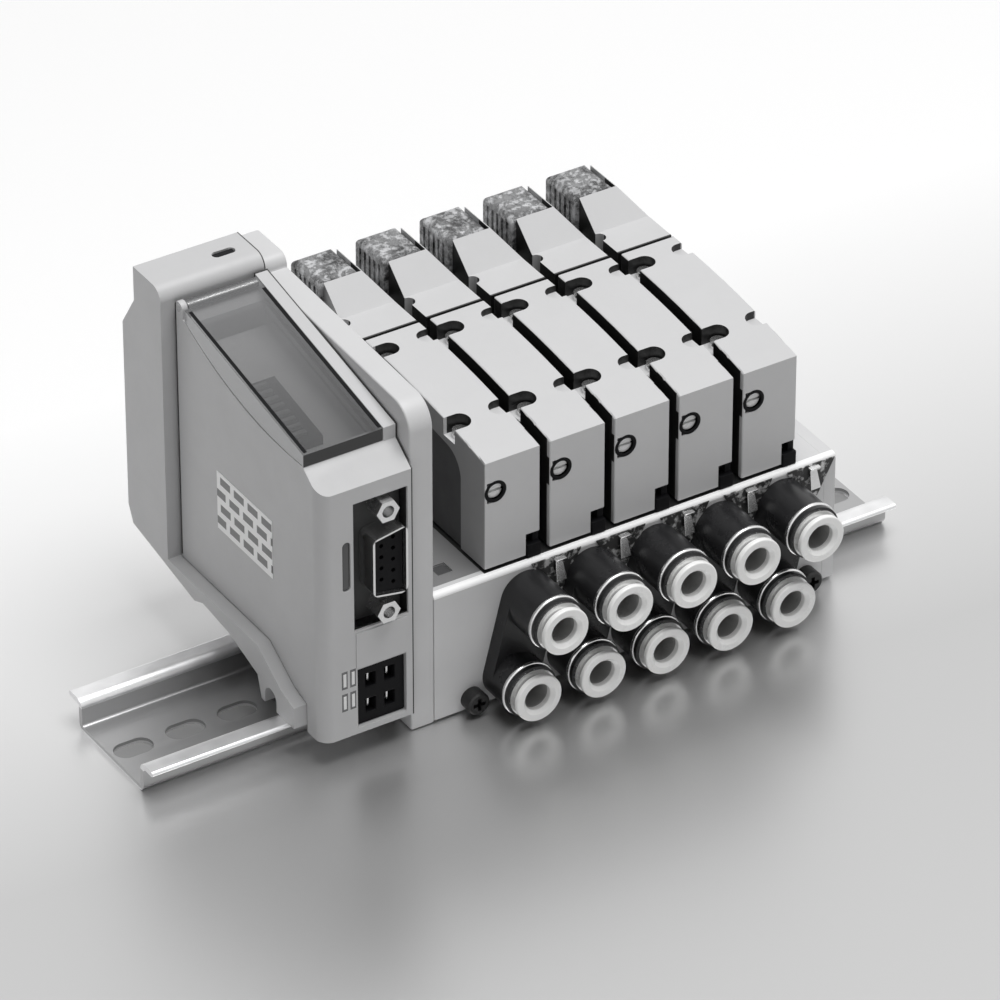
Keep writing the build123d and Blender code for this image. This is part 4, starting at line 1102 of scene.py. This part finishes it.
class ISLAND_OT_add_contacts(bpy.types.Operator):
    """Add the metal contacts of the power plug and the bars of the indicator windows"""

    bl_idname = "island.add_contacts"
    bl_label = "Add Contacts"

    def execute(self, context):
        low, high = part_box("power_plug")
        middle = (low + high) / 2
        contact_size = (0.5 * MM, 1.2 * MM, 2.2 * MM)
        for row in (-1, 1):
            for column in (-1, 1):
                x = middle.x + column * 2.3 * MM
                contact = add_block((x, low.y + 1.8 * MM, middle.z + row * 3.2 * MM), contact_size)
                round_edges(contact, 0.08 * MM)
                settle(contact, f"power_contact_{2 * row + column + 4}", ROOT, "plated_steel")
        low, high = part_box("indicator_windows")
        bar_size = (0.7 * MM, 0.16 * MM, 3.2 * MM)
        for row, z in enumerate((low.z + 2.2 * MM, high.z - 2.2 * MM)):
            for column, x in enumerate((low.x + 0.7 * MM, high.x - 0.7 * MM)):
                bar = add_block((x, low.y - 0.04 * MM, z), bar_size)
                round_edges(bar, 0.05 * MM)
                settle(bar, f"indicator_bar_{2 * row + column + 1}", ROOT, "button_resin")
        return {"FINISHED"}


class ISLAND_OT_set_studio(bpy.types.Operator):
    """Set the floor, lamp, surround and camera"""

    bl_idname = "island.set_studio"
    bl_label = "Set Studio"

    def execute(self, context):
        studio = context.scene.island_studio
        self.add_floor(studio)
        self.add_lamp(studio)
        self.fill_world(context, studio)
        self.add_camera(context, studio)
        context.scene.view_settings.view_transform = "Standard"
        return {"FINISHED"}

    def add_floor(self, studio):
        """Pale glossy floor with painted light falloff, darker towards the viewer and to the right, and a
        painted shadow under the rail.
        """
        bpy.ops.object.select_all(action="DESELECT")
        bpy.ops.mesh.primitive_plane_add(size=studio.floor_size, location=(0.0, 0.0, 0.0))
        floor = bpy.context.object
        floor.name = "studio_floor"
        recipe = new_recipe("studio_floor")
        aside = math.sin(studio.azimuth)
        along = math.cos(studio.azimuth)
        away = recipe.split("Y") * along - recipe.split("X") * aside
        right = recipe.split("X") * along + recipe.split("Y") * aside
        # Painted light: the floor's colour fades from far to near and darker to the right
        painted_light_fade = recipe.limit(away * studio.fade_away - right * studio.fade_right + studio.fade_middle)
        tone = recipe.blend(painted_light_fade, shade(studio.floor_near, 1.0), shade(studio.floor_far, 1.0))
        low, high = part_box("din_rail")
        end = 1.0 * MM
        flange = 5.5 * MM
        # Painted shadow under the rail, with less gloss
        rail_shadow = recipe.between("X", low.x + end, high.x - end) * recipe.between(
            "Y", low.y + flange, high.y - flange
        )
        tone = recipe.blend(rail_shadow, tone, shade(studio.floor_near, 1.5))
        gloss_share = studio.floor_gloss - rail_shadow * 0.44
        diffuse = recipe.node("ShaderNodeBsdfDiffuse", inputs={"Color": tone})
        gloss = recipe.node(
            "ShaderNodeBsdfGlossy", inputs={"Color": WHITE, "Roughness": studio.floor_roughness}
        )
        mix = recipe.node("ShaderNodeMixShader", inputs={0: gloss_share, 1: diffuse, 2: gloss})
        recipe.node("ShaderNodeOutputMaterial", inputs={"Surface": mix})
        floor.data.materials.append(recipe.owner)

    def add_lamp(self, studio):
        """One large soft lamp overhead, a little to the front and right."""
        target = Vector(studio.target)
        place = target + Vector(studio.key_offset)
        bpy.ops.object.light_add(type="AREA", location=place)
        lamp = bpy.context.object
        lamp.name = "key_lamp"
        lamp.data.shape = "DISK"
        lamp.data.size = studio.key_size
        lamp.data.energy = studio.key_energy
        lamp.rotation_euler = (place - target).to_track_quat("Z", "Y").to_euler()

    def fill_world(self, context, studio):
        """Soft grey surround for light, white where the camera, gloss or glass sees it."""
        recipe = Recipe(context.scene.world or bpy.data.worlds.new("surround"))
        context.scene.world = recipe.owner
        camera_ray = recipe.node("ShaderNodeLightPath", output="Is Camera Ray")
        glossy_ray = recipe.node("ShaderNodeLightPath", output="Is Glossy Ray")
        clear_ray = recipe.node("ShaderNodeLightPath", output="Is Transmission Ray")
        seen = camera_ray + glossy_ray + clear_ray
        light = recipe.node("ShaderNodeBackground", inputs={"Color": WHITE, "Strength": studio.sky_strength})
        white = recipe.node("ShaderNodeBackground", inputs={"Color": WHITE, "Strength": 1.0})
        mix = recipe.node("ShaderNodeMixShader", inputs={0: seen, 1: light, 2: white})
        recipe.node("ShaderNodeOutputWorld", inputs={"Surface": mix})

    def add_camera(self, context, studio):
        """Camera at the photograph's angle."""
        flat = math.cos(studio.elevation)
        back = Vector(
            (
                math.sin(studio.azimuth) * flat,
                -math.cos(studio.azimuth) * flat,
                math.sin(studio.elevation),
            )
        )
        bpy.ops.object.camera_add(location=Vector(studio.target) + studio.distance * back)
        camera = bpy.context.object
        camera.rotation_euler = back.to_track_quat("Z", "Y").to_euler()
        camera.data.lens = studio.lens
        camera.data.sensor_width = 36.0
        camera.data.clip_end = 20.0
        context.scene.camera = camera


STEPS = (
    ISLAND_OT_mix_finishes,
    ISLAND_OT_soften_housings,
    ISLAND_OT_soften_valves,
    ISLAND_OT_add_label,
    ISLAND_OT_add_strips,
    ISLAND_OT_add_window_edges,
    ISLAND_OT_add_beads,
    ISLAND_OT_add_rings,
    ISLAND_OT_add_latches,
    ISLAND_OT_add_clips,
    ISLAND_OT_add_levers,
    ISLAND_OT_add_contacts,
    ISLAND_OT_set_studio,
)


class ISLAND_PT_dressing(bpy.types.Panel):
    """Settings and steps of the island's dressing"""

    bl_label = "Valve Island"
    bl_space_type = "VIEW_3D"
    bl_region_type = "UI"
    bl_category = "Valve Island"

    def draw(self, context):
        scene = context.scene
        for group in (scene.island_resins, scene.island_metals, scene.island_sizes, scene.island_studio):
            box = self.layout.box()
            for name in group.__annotations__:
                box.prop(group, name)
        for step in STEPS:
            self.layout.operator(step.bl_idname)


GROUPS = {
    "island_resins": ResinColours,
    "island_metals": MetalColours,
    "island_sizes": DetailSizes,
    "island_studio": Studio,
}


def register():
    for name, group in GROUPS.items():
        bpy.utils.register_class(group)
        setattr(bpy.types.Scene, name, PointerProperty(type=group))
    for step in STEPS:
        bpy.utils.register_class(step)
    bpy.utils.register_class(ISLAND_PT_dressing)


def unregister():
    bpy.utils.unregister_class(ISLAND_PT_dressing)
    for step in reversed(STEPS):
        bpy.utils.unregister_class(step)
    for name, group in reversed(GROUPS.items()):
        delattr(bpy.types.Scene, name)
        bpy.utils.unregister_class(group)


def main():
    register()
    for step in STEPS:
        family, verb = step.bl_idname.split(".")
        getattr(getattr(bpy.ops, family), verb)()


if __name__ == "__main__":
    main()
